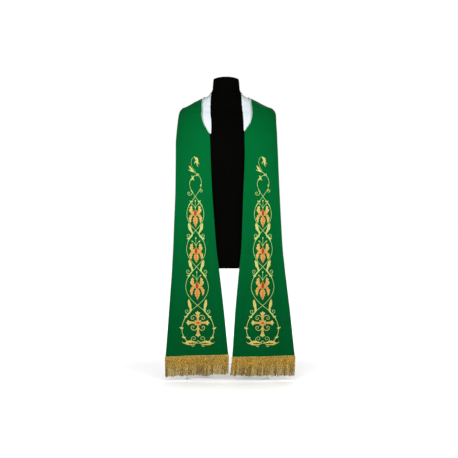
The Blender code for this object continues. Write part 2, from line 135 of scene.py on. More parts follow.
# Sections of a half, from the centre back to the hem: x, y and z of its inner edge, then of its outer edge.
BACK_SECTIONS = (
    (0.0000, 0.084, 1.2150, 0.0000, 0.112, 1.1000),
    (0.0460, 0.078, 1.2170, 0.0720, 0.108, 1.1040),
    (0.0780, 0.058, 1.2210, 0.1380, 0.092, 1.1180),
)

RIGHT_HAND_SECTIONS = BACK_SECTIONS + (  # the half that hangs at -X
    (0.0930, 0.029, 1.2270, 0.1870, 0.060, 1.1440),
    (0.0980, 0.000, 1.2300, 0.2050, 0.020, 1.1700),
    (0.1002, -0.026, 1.2210, 0.2075, -0.008, 1.1710),
    (0.1032, -0.050, 1.2020, 0.2105, -0.026, 1.1600),
    (0.1049, -0.072, 1.1720, 0.2165, -0.038, 1.1480),
    (0.1067, -0.088, 1.1400, 0.2178, -0.046, 1.1330),
    (0.1043, -0.098, 1.1170, 0.2172, -0.053, 1.1160),
    (0.0998, -0.105, 1.1030, 0.2184, -0.058, 1.1000),
    (0.0878, -0.112, 1.0830, 0.2200, -0.064, 1.0800),
    (0.0765, -0.116, 1.0610, 0.2218, -0.068, 1.0590),
    (0.0737, -0.120, 1.0200, 0.2240, -0.075, 1.0200),
    (0.0728, -0.121, 0.9860, 0.2237, -0.080, 0.9860),
    (0.0698, -0.121, 0.9040, 0.2238, -0.088, 0.9040),
    (0.0658, -0.121, 0.8220, 0.2245, -0.094, 0.8220),
    (0.0558, -0.121, 0.6830, 0.2294, -0.100, 0.6830),
    (0.0470, -0.121, 0.5690, 0.2335, -0.104, 0.5690),
    (0.0360, -0.121, 0.4850, 0.2380, -0.106, 0.4850),
    (0.0128, -0.121, 0.2830, 0.2524, -0.109, 0.2830),
    (-0.0050, -0.121, 0.1040, 0.2666, -0.110, 0.0940),
)

LEFT_HAND_SECTIONS = BACK_SECTIONS + (  # the half that hangs at +X
    (0.0950, 0.029, 1.2270, 0.1870, 0.060, 1.1440),
    (0.0995, 0.000, 1.2310, 0.2050, 0.020, 1.1700),
    (0.1030, -0.026, 1.2220, 0.2075, -0.008, 1.1710),
    (0.1070, -0.050, 1.2020, 0.2098, -0.026, 1.1600),
    (0.1095, -0.072, 1.1720, 0.2110, -0.038, 1.1480),
    (0.1070, -0.088, 1.1430, 0.2112, -0.046, 1.1350),
    (0.1027, -0.098, 1.1240, 0.2112, -0.053, 1.1210),
    (0.0960, -0.105, 1.1080, 0.2118, -0.058, 1.1060),
    (0.0822, -0.112, 1.0900, 0.2133, -0.064, 1.0880),
    (0.0730, -0.116, 1.0730, 0.2146, -0.068, 1.0690),
    (0.0728, -0.120, 1.0300, 0.2158, -0.075, 1.0300),
    (0.0740, -0.121, 0.9900, 0.2175, -0.080, 0.9900),
    (0.0725, -0.121, 0.9200, 0.2201, -0.088, 0.9200),
    (0.0685, -0.121, 0.8300, 0.2238, -0.094, 0.8300),
    (0.0633, -0.121, 0.6830, 0.2308, -0.100, 0.6830),
    (0.0585, -0.121, 0.5690, 0.2374, -0.104, 0.5690),
    (0.0500, -0.121, 0.4850, 0.2464, -0.106, 0.4850),
    (0.0315, -0.121, 0.2830, 0.2705, -0.109, 0.2830),
    (0.0195, -0.121, 0.0940, 0.2898, -0.110, 0.0980),
)

Fold = namedtuple("Fold", "across width depth")

RIGHT_HAND_FOLDS = (Fold(0.14, 0.13, 0.008), Fold(0.55, 0.17, -0.007), Fold(0.90, 0.12, 0.006))
LEFT_HAND_FOLDS = (Fold(0.10, 0.12, 0.006), Fold(0.46, 0.16, 0.008), Fold(0.84, 0.13, -0.007))

# The neck band's free edge at the first sections: its x and y, and its rise over the stole's inner edge.
NECK_BAND_EDGES = (
    (0.0000, 0.0655, 0.041),
    (0.0340, 0.0565, 0.038),
    (0.0560, 0.0350, 0.032),
    (0.0640, 0.0120, 0.022),
    (0.0655, -0.0060, 0.015),
    (0.0650, -0.0270, 0.017),
    (0.0650, -0.0460, 0.017),
    (0.0686, -0.0680, 0.0145),
    (0.0702, -0.0850, 0.016),
    (0.0697, -0.0960, 0.015),
    (0.0692, -0.1040, 0.009),
    (0.0694, -0.1120, 0.006),
    (0.0700, -0.1160, 0.003),
)

StrandEnds = namedtuple("StrandEnds", "inner_height inner_lean outer_height outer_lean")

RIGHT_HAND_ENDS = StrandEnds(0.0322, 0.001, 0.0175, -0.001)
LEFT_HAND_ENDS = StrandEnds(0.0245, -0.008, 0.0200, -0.003)

# ---- what only the looks have ----

BROAD_UNEVEN = 0.00025
FINE_UNEVEN = 0.00020
LACE_END = 0.004  # the lace stops this far before the band does

# A soft crease across the cloth: its height above the hem at mid width, how much it slants over the width,
# where it is deepest across and how far it reaches, its half width, and its depth, outwards above 0.
Crease = namedtuple("Crease", "above_hem slant across reach half_width depth")

RIGHT_HAND_CREASES = table(
    Crease,
    (0.480, 0.010, 0.15, 0.45, 0.014, 0.0010),
    (0.462, -0.006, 0.85, 0.40, 0.012, -0.0012),
    (0.690, 0.020, 0.80, 0.40, 0.020, -0.0008),
    (0.300, -0.012, 0.90, 0.35, 0.016, 0.0010),
    (0.160, 0.016, 0.12, 0.35, 0.018, 0.0009),
    (1.000, 0.060, 0.10, 0.40, 0.016, 0.0012),
    (1.140, -0.050, 0.20, 0.45, 0.014, 0.0010),
    (1.270, 0.030, 0.70, 0.50, 0.015, 0.0009),
)
LEFT_HAND_CREASES = table(
    Crease,
    (0.604, 0.012, 0.90, 0.40, 0.013, -0.0016),
    (0.447, 0.004, 0.10, 0.50, 0.010, -0.0020),
    (0.444, -0.008, 0.90, 0.40, 0.013, -0.0014),
    (0.296, 0.006, 0.12, 0.40, 0.011, -0.0016),
    (0.180, -0.014, 0.88, 0.35, 0.018, 0.0009),
    (0.985, -0.060, 0.12, 0.40, 0.015, 0.0011),
    (1.150, 0.040, 0.30, 0.45, 0.016, 0.0010),
    (1.290, -0.030, 0.60, 0.50, 0.013, 0.0008),
)

Half = namedtuple("Half", "name side sections folds creases ends design_top_x design_low_x")

RIGHT_HAND_TABLES = (RIGHT_HAND_SECTIONS, RIGHT_HAND_FOLDS, RIGHT_HAND_CREASES, RIGHT_HAND_ENDS)
LEFT_HAND_TABLES = (LEFT_HAND_SECTIONS, LEFT_HAND_FOLDS, LEFT_HAND_CREASES, LEFT_HAND_ENDS)
HALVES = (
    Half("right", -1, *RIGHT_HAND_TABLES, design_top_x=-0.1384, design_low_x=-0.1262),
    Half("left", 1, *LEFT_HAND_TABLES, design_top_x=0.1520, design_low_x=0.1502),
)


# ---- curves and surfaces ----


def smooth_step(low, high, value):
    share = np.clip((value - low) / (high - low), 0.0, 1.0)
    return share * share * (3 - 2 * share)


def hermite(u, first, first_slope, second, second_slope):
    """The cubic from first at u = 0 to second at u = 1, with these slopes there."""
    return (
        (2 * u**3 - 3 * u**2 + 1) * first
        + (u**3 - 2 * u**2 + u) * first_slope
        + (3 * u**2 - 2 * u**3) * second
        + (u**3 - u**2) * second_slope
    )


def run_along(points):
    """The distance run up to each point of a line, or of many lines at once."""
    steps = np.linalg.norm(np.diff(points, axis=-2), axis=-1)
    return np.concatenate([np.zeros((*steps.shape[:-1], 1)), np.cumsum(steps, axis=-1)], axis=-1)


class SmoothTable:
    """Rows of numbers joined by a smooth curve that never overshoots them, read at any stations."""

    def __init__(self, stations, rows):
        self.stations = np.array(stations, float)
        self.values = np.array(rows, float)
        steps = np.diff(self.stations)[:, None]
        chords = np.diff(self.values, axis=0) / steps
        before, after = chords[:-1], chords[1:]
        heavy, light = 2 * steps[1:] + steps[:-1], steps[1:] + 2 * steps[:-1]
        same_way = before * after > 0
        safe_before, safe_after = np.where(same_way, before, 1.0), np.where(same_way, after, 1.0)
        inner = np.where(same_way, (heavy + light) / (heavy / safe_before + light / safe_after), 0.0)
        self.slopes = np.concatenate([chords[:1], inner, chords[-1:]])

    def at(self, station):
        station = np.clip(station, self.stations[0], self.stations[-1])
        k = np.clip(np.searchsorted(self.stations, station, side="left") - 1, 0, len(self.stations) - 2)
        step = (self.stations[k + 1] - self.stations[k])[..., None]
        u = (station - self.stations[k])[..., None] / step
        rise, next_rise = step * self.slopes[k], step * self.slopes[k + 1]
        return hermite(u, self.values[k], rise, self.values[k + 1], next_rise)


def level_table(levels):
    return SmoothTable([level.height for level in levels], [level[1:] for level in levels])


DRAPE = level_table(DRAPE_LEVELS)


def reach(points):
    """0 on the drape's surface, above 0 outside it."""
    half_width, front, back, power = np.moveaxis(DRAPE.at(points[..., 2]), -1, 0)
    depth = np.where(points[..., 1] < 0, front, back)
    across = np.abs(points[..., 0] / half_width)
    deep = np.abs(points[..., 1] / depth)
    return (across**power + deep**power) ** (1 / power) - 1


def distance_out(points):
    """About how far points are outside the drape's surface."""
    tiny = 1e-4
    here = reach(points)
    slope = np.stack([(reach(points + tiny * axis) - here) / tiny for axis in np.eye(3)], axis=-1)
    return here / np.linalg.norm(slope, axis=-1)


def leaned(points):
    """Points of the upright form, or of the cloth on it, moved with the form's neck and shoulder line."""
    x, y, height = np.moveaxis(points, -1, 0)
    near_neck = 1 - smooth_step(LEAN_INSIDE, LEAN_OUTSIDE, np.abs(x))
    lean = NECK_LEAN * near_neck * smooth_step(LEAN_BOTTOM, LEAN_TOP, height)
    below_neck = 1 - smooth_step(LEAN_TOP, NECK_HEIGHT, height)
    drop = SHOULDER_DROP * x * below_neck * smooth_step(CHEST_HEIGHT, LEAN_BOTTOM, height)
    return np.stack([x + lean, y, height - drop], axis=-1)


def laid_on_drape(guide, clearance):
    """The points at that clearance from the drape on the lines from inside the form through the guides."""
    turned = 1 - 0.5 * smooth_step(SHOULDER_HEIGHT, SHOULDER_TOP, guide[..., 2])
    start = np.stack(
        [turned * guide[..., 0], np.zeros_like(turned), np.minimum(guide[..., 2], SHOULDER_HEIGHT)], axis=-1
    )
    heading = guide - start
    near, far = np.full(turned.shape, 0.2), np.full(turned.shape, 3.0)
    for _ in range(BISECTIONS):
        middle = (near + far) / 2
        inside = distance_out(start + middle[..., None] * heading) < clearance
        near, far = np.where(inside, middle, near), np.where(inside, far, middle)
    return start + near[..., None] * heading


class StoleHalf:
    """The surface of one half of the stole, by distance along it and share across it."""

    def __init__(self, half):
        self.half = half
        rows = np.array(half.sections)
        middles = (rows[:, :3] + rows[:, 3:]) / 2
        self.stations = run_along(middles)
        self.heights = middles[:, 2]
        self.end = self.stations[-1]
        self.edges = SmoothTable(self.stations, half.sections)
        self.band = SmoothTable(self.stations[: len(NECK_BAND_EDGES)], NECK_BAND_EDGES)
        self.band_end = self.stations[len(NECK_BAND_EDGES) - 1]

    def fold(self, across, height):
        """How far its soft upright folds bring it forward."""
        grown = smooth_step(FOLD_TOP, FOLD_BOTTOM, height)
        offsets = [(across - fold.across) / fold.width for fold in self.half.folds]
        return grown * sum(fold.depth * np.exp(-(at**2)) for fold, at in zip(self.half.folds, offsets))

    def crease(self, along, across):
        """How far the creases and the cloth's slight unevenness lift it."""
        side = self.half.side
        total = BROAD_UNEVEN * np.sin(34 * along + 3 * across + side) * np.sin(21 * along - 5 * across)
        total = total + FINE_UNEVEN * np.sin(57 * along + 9 * across + 2 * side)
        for crease in self.half.creases:
            offset = self.end - along - crease.above_hem - crease.slant * (across - 0.5)
            fade = np.exp(-(((across - crease.across) / crease.reach) ** 2))
            total = total + crease.depth * fade * np.exp(-((offset / crease.half_width) ** 2))
        return total

    def placed(self, guide, across, clearance):
        """Guide points of the upright form brought onto it, on this half's side, with the folds."""
        point = laid_on_drape(guide, clearance)
        point[..., 1] -= self.fold(across, point[..., 2])
        point[..., 0] = self.half.side * (point[..., 0] + BACK_SEAM_HALF)
        return leaned(point)

    def width(self, along):
        """From edge to edge, straight across."""
        row = self.edges.at(along)
        return np.linalg.norm(row[..., 3:] - row[..., :3], axis=-1)

    def neck_line(self, along):
        """The share across where the cloth starts: over the band, a little past its solid's edge."""
        over = NECK_LINE_OVER * smooth_step(self.band_end - LACE_END, self.band_end - 0.070, along)
        return -over / self.width(along)

    def point(self, along, across, clearance):
        """On the cloth, at that clearance from what it lies on."""
        along, across, clearance = np.broadcast_arrays(along, across, clearance)
        row = self.edges.at(along)
        guide = row[..., :3] + across[..., None] * (row[..., 3:] - row[..., :3])
        return self.placed(guide, across, clearance + self.crease(along, across))

    def place_of(self, x, height):
        """Distance along and share across at a place of the hanging cloth, as seen from the front."""
        guide_x = self.half.side * x - BACK_SEAM_HALF
        hanging = slice(FIRST_HANGING, None)
        along = np.interp(-height, -self.heights[hanging], self.stations[hanging])
        for _ in range(4):
            row = self.edges.at(along)
            across = (guide_x - row[..., 0]) / (row[..., 3] - row[..., 0])
            along = along + row[..., 2] + across * (row[..., 5] - row[..., 2]) - height
        return along, across

    def band_point(self, along, share, clearance):
        """On the neck band: share 0 is its free edge at the neck, 1 its edge under the stole."""
        along, share, clearance = np.broadcast_arrays(along, share, clearance)
        edge, row = self.band.at(along), self.edges.at(along)
        inner, outer = row[..., :3], row[..., 3:]
        free = np.stack([edge[..., 0], edge[..., 1], row[..., 2] + edge[..., 2]], axis=-1)
        shown = np.minimum(share / BAND_VISIBLE, 1.0)[..., None]
        hidden = (BAND_UNDERLAP * np.maximum(share - BAND_VISIBLE, 0) / (1 - BAND_VISIBLE))[..., None]
        guide = free + shown * (inner - free) + hidden * (outer - inner)
        return self.placed(guide, np.zeros(along.shape), clearance)


# ---- making meshes ----


def grid_faces(rows, columns, closed=False, turned=False):
    """Quads over a grid of points that are numbered row by row."""
    index = np.arange(rows * columns).reshape(rows, columns)
    if closed:
        index = np.concatenate([index, index[:, :1]], axis=1)
    quads = np.stack([index[:-1, :-1], index[:-1, 1:], index[1:, 1:], index[1:, :-1]], axis=-1).reshape(-1, 4)
    return quads[:, ::-1] if turned else quads


def mesh_of(name, points, faces, uv=None, colours=None):
    """A smooth mesh from grids of points, groups of faces, and the points' places on the flat and colours."""
    points = points.reshape(-1, 3)
    mesh = bpy.data.meshes.new(name)
    mesh.from_pydata(points.tolist(), [], [face for group in faces for face in group.tolist()])
    corners = np.concatenate([group.reshape(-1) for group in faces])
    if uv is not None:
        layer = mesh.uv_layers.new(name="flat")
        layer.data.foreach_set("uv", uv.astype(np.float32).reshape(-1, 2)[corners].reshape(-1))
    if colours is not None:
        layer = mesh.color_attributes.new(name="tint", type="FLOAT_COLOR", domain="POINT")
        opaque = np.column_stack([colours.reshape(-1, 3), np.ones(len(points))])
        layer.data.foreach_set("color", opaque.astype(np.float32).reshape(-1))
    mesh.update()
    mesh.shade_smooth()
    return mesh


class Parts:
    """Collects grids of points, with their faces, places on the flat and colours, for one mesh."""

    def __init__(self):
        self.points, self.faces, self.uv, self.colours = [], [], [], []
        self.count = 0

    def add(self, points, faces, uv=None, colours=None):
        """Takes in points, and groups of faces that number them from 0."""
        self.faces.extend(group + self.count for group in faces)
        for kept, values in ((self.points, points), (self.uv, uv), (self.colours, colours)):
            if values is not None:
                kept.append(values.reshape(-1, values.shape[-1]))
        self.count += len(self.points[-1])

    def mesh(self, name):
        points, uv, colours = (
            np.concatenate(kept) if kept else None for kept in (self.points, self.uv, self.colours)
        )
        return mesh_of(name, points, self.faces, uv, colours)


def add_piece(name, mesh, material, slot, *replaced):
    piece = bpy.data.objects.new(name, mesh)
    bpy.context.scene.collection.objects.link(piece)
    piece.data.materials.append(material)
    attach(piece, "root")
    if replaced:
        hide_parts(*replaced)
    return piece


def shell_of(name, outer, inner, uv):
    """A closed sheet between two grids of points, joined round its rim."""
    rows, columns = outer.shape[:2]
    count = rows * columns
    index = np.arange(count).reshape(rows, columns)
    rim = np.concatenate([index[0, :-1], index[:-1, -1], index[-1, :0:-1], index[:0:-1, 0]])
    following = np.roll(rim, -1)
    faces = [
        grid_faces(rows, columns, turned=True),
        grid_faces(rows, columns) + count,
        np.stack([rim, following, following + count, rim + count], axis=-1),
    ]
    mesh = mesh_of(name, np.concatenate([outer, inner]), faces, np.concatenate([uv, uv]))
    middle = mesh.polygons[(rows // 2) * (columns - 1) + columns // 2]
    if middle.normal.dot(middle.center - Vector((0, 0, SHOULDER_HEIGHT))) < 0:
        mesh.flip_normals()
    return mesh


EDGE_STEPS = (0.0, 0.0003, 0.0007, 0.0012, 0.0024)


def edge_stations(length, step):
    """Stations from 0 to length, close together at both ends so that the edges can be rounded."""
    edge = np.array(EDGE_STEPS)
    middle = np.linspace(edge[-1], length - edge[-1], max(3, round(length / step)))[1:-1]
    return np.concatenate([edge, middle, length - edge[::-1]])


def edge_rounding(distance, wall):
    """How far the faces draw together at that distance from an edge: half the wall at the edge itself."""
    radius = wall / 2
    left = np.clip(1 - distance / radius, 0, 1)
    return radius * (1 - np.sqrt(1 - left**2)) * 0.92


# ---- materials ----

GREEN_HIGH = (0.0004, 0.1400, 0.0295)
GREEN_LOW = (0.0002, 0.1050, 0.0212)
GREEN_SHINE = (0.02, 0.75, 0.25)
# painted shade: the green is painted darker towards the hem
HEM_PAINTED_SHADE = 0.61  # of the green's colour is left up to SHADE_BOTTOM, and all of it from SHADE_TOP up
SHADE_BOTTOM = 0.10
SHADE_TOP = 0.95
PLY_PITCH = 0.0016  # of the threads round a cord, on its flat map


class Nodes:
    """A short way to write a material's nodes."""

    def __init__(self, name):
        self.material = bpy.data.materials.new(name)
        self.material.use_nodes = True
        self.tree = self.material.node_tree
        self.shader = self.tree.nodes["Principled BSDF"]

    def add(self, kind, inputs=None, **settings):
        node = self.tree.nodes.new(kind)
        for key, value in settings.items():
            setattr(node, key, value)
        for key, value in (inputs or {}).items():
            self.feed(node.inputs[key], value)
        return node

    def feed(self, socket, value):
        if isinstance(value, bpy.types.NodeSocket):
            self.tree.links.new(value, socket)
        elif socket.type == "RGBA":
            socket.default_value = (*value, 1.0)
        else:
            socket.default_value = value

    def finished(self, **values):
        """The material, once its shader has these values."""
        for key, value in values.items():
            self.feed(self.shader.inputs[key.replace("_", " ")], value)
        return self.material

    def place(self):
        return self.add("ShaderNodeTexCoord").outputs["Object"]

    def flat(self):
        """The place on the flat cloth, in metres across and along."""
        flat_map = self.add("ShaderNodeUVMap", uv_map="flat").outputs[0]
        return self.add("ShaderNodeSeparateXYZ", {0: flat_map}).outputs[:2]

    def tint(self):
        return self.add("ShaderNodeVertexColor", layer_name="tint").outputs["Color"]

    def math(self, operation, *values):
        return self.add("ShaderNodeMath", dict(enumerate(values)), operation=operation).outputs[0]

    def plus(self, first, second, times=1.0):
        """The first value and so many times the second."""
        return self.math("MULTIPLY_ADD", second, times, first)

    def wave(self, place, pitch):
        """A sine of 0 to 1 along a place in metres."""
        return self.plus(0.5, self.math("SINE", self.math("MULTIPLY", place, 2 * math.pi / pitch)), 0.5)

    def noise(self, where, scale, detail=2.0, roughness=0.5):
        inputs = {"Vector": where, "Scale": scale, "Detail": detail, "Roughness": roughness}
        return self.add("ShaderNodeTexNoise", inputs).outputs["Fac"]

    def span(self, value, low, high, start=0.0, end=1.0, **settings):
        """From low to high as the value goes from start to end."""
        inputs = {"Value": value, "From Min": start, "From Max": end, "To Min": low, "To Max": high}
        return self.add("ShaderNodeMapRange", inputs, **settings).outputs[0]

    def grey(self, value):
        return self.add("ShaderNodeCombineColor", {0: value, 1: value, 2: value}).outputs[0]

    def mix(self, factor, first, second, blend="MIX"):
        inputs = {"Factor": factor, 6: first, 7: second}
        return self.add("ShaderNodeMix", inputs, data_type="RGBA", blend_type=blend).outputs[2]

    def times(self, colour, value):
        return self.mix(1.0, colour, self.grey(value), "MULTIPLY")

    def painted_hem_shade(self, place, colour):
        """The cloth's colour, painted darker towards the hem as painted shade."""
        height = self.add("ShaderNodeSeparateXYZ", {0: place}).outputs[2]
        settings = {"interpolation_type": "SMOOTHSTEP"}
        return self.times(colour, self.span(height, HEM_PAINTED_SHADE, 1.0, SHADE_BOTTOM, SHADE_TOP, **settings))

    def relief(self, *layers):
        """Bumps one over the other, each with its height, strength and distance."""
        under = {}
        for height, strength, distance in layers:
            inputs = {"Height": height, "Strength": strength, "Distance": distance, **under}
            under = {"Normal": self.add("ShaderNodeBump", inputs).outputs[0]}
        return under["Normal"]


def linear(red, green, blue):
    """An sRGB colour of 0 to 255 as the linear colour that shaders take."""
    shares = [value / 255 for value in (red, green, blue)]
    return tuple(s / 12.92 if s <= 0.04045 else ((s + 0.055) / 1.055) ** 2.4 for s in shares)


def green_gabardine():
    """Smooth worsted cloth in a steep twill, with a faint sheen."""
    nodes = Nodes("green_gabardine")
    across, along = nodes.flat()
    place = nodes.place()
    wale = nodes.wave(nodes.plus(along, across, 1.7), 0.0011)
    yarn = nodes.wave(nodes.plus(across, along, -1.0), 0.0005)
    slubs = nodes.noise(place, 900.0, 3.0)
    cloudy = nodes.noise(place, 9.0, 3.0)
    shade = nodes.plus(nodes.math("MULTIPLY", wale, 0.4), slubs, 0.6)
    base = nodes.mix(shade, GREEN_LOW, GREEN_HIGH)
    base = nodes.mix(nodes.span(cloudy, 0.0, 0.22), base, GREEN_LOW)
    return nodes.finished(
        Base_Color=nodes.painted_hem_shade(place, base),
        Roughness=nodes.span(slubs, 0.56, 0.72),
        Normal=nodes.relief((nodes.plus(wale, yarn, 0.35), 0.30, 0.00018), (cloudy, 0.10, 0.0040)),
        Specular_IOR_Level=0.30,
        Specular_Tint=GREEN_SHINE,
        Sheen_Weight=0.04,
        Sheen_Roughness=0.40,
        Sheen_Tint=(0.02, 0.80, 0.30),
    )


def painted_shade_green():
    """The green cloth with painted shade round the stitches: darker, by the share in its tint."""
    nodes = Nodes("green_pucker")
    place = nodes.place()
    middle = tuple((high + low) / 2 for high, low in zip(GREEN_HIGH, GREEN_LOW))
    return nodes.finished(
        Base_Color=nodes.mix(1.0, nodes.painted_hem_shade(place, middle), nodes.tint(), "MULTIPLY"),
        Roughness=0.7,
        Normal=nodes.relief((nodes.noise(place, 900.0, 3.0), 0.2, 0.0003)),
        Specular_IOR_Level=0.10,
        Specular_Tint=GREEN_SHINE,
    )


def white_cotton():
    """A plain weave, slightly uneven."""
    nodes = Nodes("white_cotton")
    across, along = nodes.flat()
    weave = nodes.math("MAXIMUM", nodes.wave(across, 0.0006), nodes.wave(along, 0.0006))
    soft = nodes.noise(nodes.place(), 55.0, 3.0)
    return nodes.finished(
        Base_Color=nodes.mix(nodes.span(soft, 0.0, 0.5), linear(238, 245, 249), linear(221, 231, 238)),
        Roughness=nodes.span(weave, 0.70, 0.85),
        Normal=nodes.relief((weave, 0.25, 0.00012), (soft, 0.20, 0.0008)),
        Specular_IOR_Level=0.25,
        Sheen_Weight=0.08,
    )


def gold_cord():
    """Viscose and metal thread, twisted: the stripes run round each cord on the flat map."""
    nodes = Nodes("gold_cord")
    round_it, along = nodes.flat()
    place = nodes.place()
    ply = nodes.wave(nodes.plus(along, round_it), PLY_PITCH)
    strand = nodes.wave(nodes.plus(along, round_it, -1.2), 0.0004)
    glint, pale = nodes.noise(place, 700.0), nodes.noise(place, 120.0)
    grain = nodes.noise(place, 250.0, 1.0)
    # Painted light in the cord's colour: darker brown in the grooves between the plies as painted shade,
    # patches lighter and darker by grain as painted glitter, and bright gold specks by glint as painted
    # glints.
    base = nodes.mix(nodes.span(ply, 0.50, 0.0), nodes.tint(), (0.13, 0.07, 0.010))
    base = nodes.mix(nodes.span(pale, 0.0, 0.62, 0.52, 0.74), base, (0.34, 0.30, 0.17))
    base = nodes.times(base, nodes.span(grain, 0.36, 1.62, 0.34, 0.66))
    return nodes.finished(
        Base_Color=nodes.mix(nodes.span(glint, 0.0, 0.55, 0.56, 0.76), base, (0.95, 0.74, 0.24)),
        Roughness=nodes.span(glint, 0.34, 0.56),
        Normal=nodes.relief((ply, 0.55, 0.00030), (strand, 0.30, 0.00008)),
        Specular_IOR_Level=0.35,
        Specular_Tint=(1.0, 0.72, 0.20),
    )


def satin_thread():
    """Shiny rayon laid in satin stitches: the flat map's second coordinate runs across the stitches."""
    nodes = Nodes("satin_thread")
    _, over_stitches = nodes.flat()
    stitch = nodes.wave(over_stitches, 0.00055)
    uneven = nodes.noise(nodes.place(), 420.0, 3.0)
    # darker olive in the grooves between the stitches: painted shade
    gaps = nodes.mix(nodes.span(stitch, 0.34, 0.0), nodes.tint(), (0.10, 0.16, 0.035))
    return nodes.finished(
        Base_Color=nodes.times(gaps, nodes.span(uneven, 0.72, 1.30)),
        Roughness=nodes.span(uneven, 0.30, 0.50),
        Normal=nodes.relief((stitch, 0.55, 0.00020), (uneven, 0.25, 0.0004)),
        Specular_IOR_Level=0.35,
        Specular_Tint=(1.0, 0.90, 0.55),
    )


def black_jersey():
    """A fine knit with a little fluff."""
    nodes = Nodes("black_jersey_knit")
    place = nodes.place()
    x, _, height = nodes.add("ShaderNodeSeparateXYZ", {0: place}).outputs
    wale = nodes.wave(x, 0.0010)
    course = nodes.wave(nodes.plus(height, wale, 0.0004), 0.0009)
    fluff = nodes.noise(place, 260.0, 4.0, 0.6)
    return nodes.finished(
        Base_Color=nodes.mix(fluff, (0.0006, 0.0006, 0.0004), (0.0016, 0.0015, 0.0011)),
        Roughness=nodes.span(fluff, 0.74, 0.92),
        Normal=nodes.relief((nodes.math("MULTIPLY", wale, course), 0.30, 0.00020), (fluff, 0.25, 0.0005)),
        Specular_IOR_Level=0.02,
    )


def white_enamel():
    """Powder coat on steel."""
    nodes = Nodes("white_powder_coat")
    place = nodes.place()
    grain = nodes.noise(place, 1400.0)
    return nodes.finished(
        Base_Color=nodes.mix(nodes.noise(place, 14.0, 3.0), linear(240, 240, 238), linear(231, 231, 228)),
        Roughness=nodes.span(grain, 0.36, 0.50),
        Normal=nodes.relief((grain, 0.25, 0.0002)),
        Specular_IOR_Level=0.5,
    )


# ---- the cloth ----

ALONG_STEP = 0.0040
ACROSS_STEP = 0.0032
GRID_WIDTH = 0.20  # of cloth that the steps across are set out on, whatever its own width
BAND_ACROSS_STEP = 0.0022
BAND_GRID_WIDTH = 0.05
BAND_FACE_WIDTH = 0.045


def make_stole_half(surface, material):
    half = surface.half
    along = edge_stations(surface.end, ALONG_STEP)
    across = edge_stations(GRID_WIDTH, ACROSS_STEP) / GRID_WIDTH
    along, across = np.meshgrid(along, across, indexing="ij")
    width = surface.width(along)
    from_rim = np.minimum(np.minimum(across, 1 - across) * width, np.minimum(along, surface.end - along))
    rounding = edge_rounding(from_rim, STOLE_WALL)
    across = across + (1 - across) * surface.neck_line(along)
    outer = surface.point(along, across, STOLE_CLEARANCE + STOLE_WALL - rounding)
    inner = surface.point(along, across, STOLE_CLEARANCE + rounding)
    uv = np.stack([(across - 0.5) * width, along], axis=-1)
    name = f"stole_cloth_{half.name}"
    return add_piece(name, shell_of(name, outer, inner, uv), material, "green_cloth", f"stole_{half.name}")


def make_neck_band(surfaces, material):
    """One band from front end to front end round the neck."""
    sides = []
    for surface in surfaces:
        along = edge_stations(surface.band_end, ALONG_STEP)[len(EDGE_STEPS) - 1 :]
        along[0] = 0.0
        share = edge_stations(BAND_GRID_WIDTH, BAND_ACROSS_STEP) / BAND_GRID_WIDTH
        along, share = np.meshgrid(along, share, indexing="ij")
        from_rim = np.minimum(np.minimum(share, 1 - share) * BAND_FACE_WIDTH, surface.band_end - along)
        rounding = edge_rounding(from_rim, BAND_WALL)
        ripple = 0.00012 * np.sin(260 * along + 6 * share) * smooth_step(0.0, 0.2, share)
        outer = surface.band_point(along, share, BAND_CLEARANCE + BAND_WALL - rounding + ripple)
        inner = surface.band_point(along, share, BAND_CLEARANCE + rounding)
        uv = np.stack([share * BAND_FACE_WIDTH, surface.half.side * along], axis=-1)
        if surface.half.side < 0:
            outer[0, :, 0] = inner[0, :, 0] = 0.0
            sides.append([grid[::-1] for grid in (outer, inner, uv)])
        else:
            sides.append([grid[1:] for grid in (outer, inner, uv)])
    mesh = shell_of("neck_band_cotton", *(np.concatenate(grids) for grids in zip(*sides)))
    return add_piece("neck_band_cotton", mesh, material, "white_cloth", "neck_band")


LACE_PITCH = 0.0086
LACE_REACH = 0.0062
LACE_THREAD = 0.00045
LACE_SIDES = 5
SCALLOP_CELLS = 18


def make_lace(surfaces, material):
    """A narrow crocheted edging on the neck line: scallops within scallops, and a thread along the edge."""
    parts = Parts()
    for surface in surfaces:
        end = surface.band_end - LACE_END
        waves = round(end / LACE_PITCH)
        fine = np.linspace(0, end, waves * SCALLOP_CELLS + 1)
        turn = 2 * math.pi * waves * fine / end
        furthest = LACE_REACH * (1 - 0.45 * smooth_step(end - 0.09, end - 0.02, fine))
        scallop = furthest * np.abs(np.sin(turn / 2)) ** 0.7
        spokes = scallop * (0.5 + 0.5 * np.cos(3 * turn))
        strands = []
        for out, lift in ((scallop, 0.0), (0.9 * spokes, 0.0003), (0.0, 0.0001)):
            rise = STOLE_CLEARANCE + STOLE_WALL + LACE_THREAD * 0.8 + lift
            across = surface.neck_line(fine) + (out + 0.0002) / surface.width(fine)
            strands.append(surface.point(fine, across, rise))
        points, uv = tubes(np.stack(strands), LACE_THREAD, LACE_SIDES)
        parts.add(points, tube_faces(*points.shape[:3]), uv)
    return add_piece("neck_line_lace", parts.mesh("neck_line_lace"), material, "white_cloth")


# ---- the fringe ----

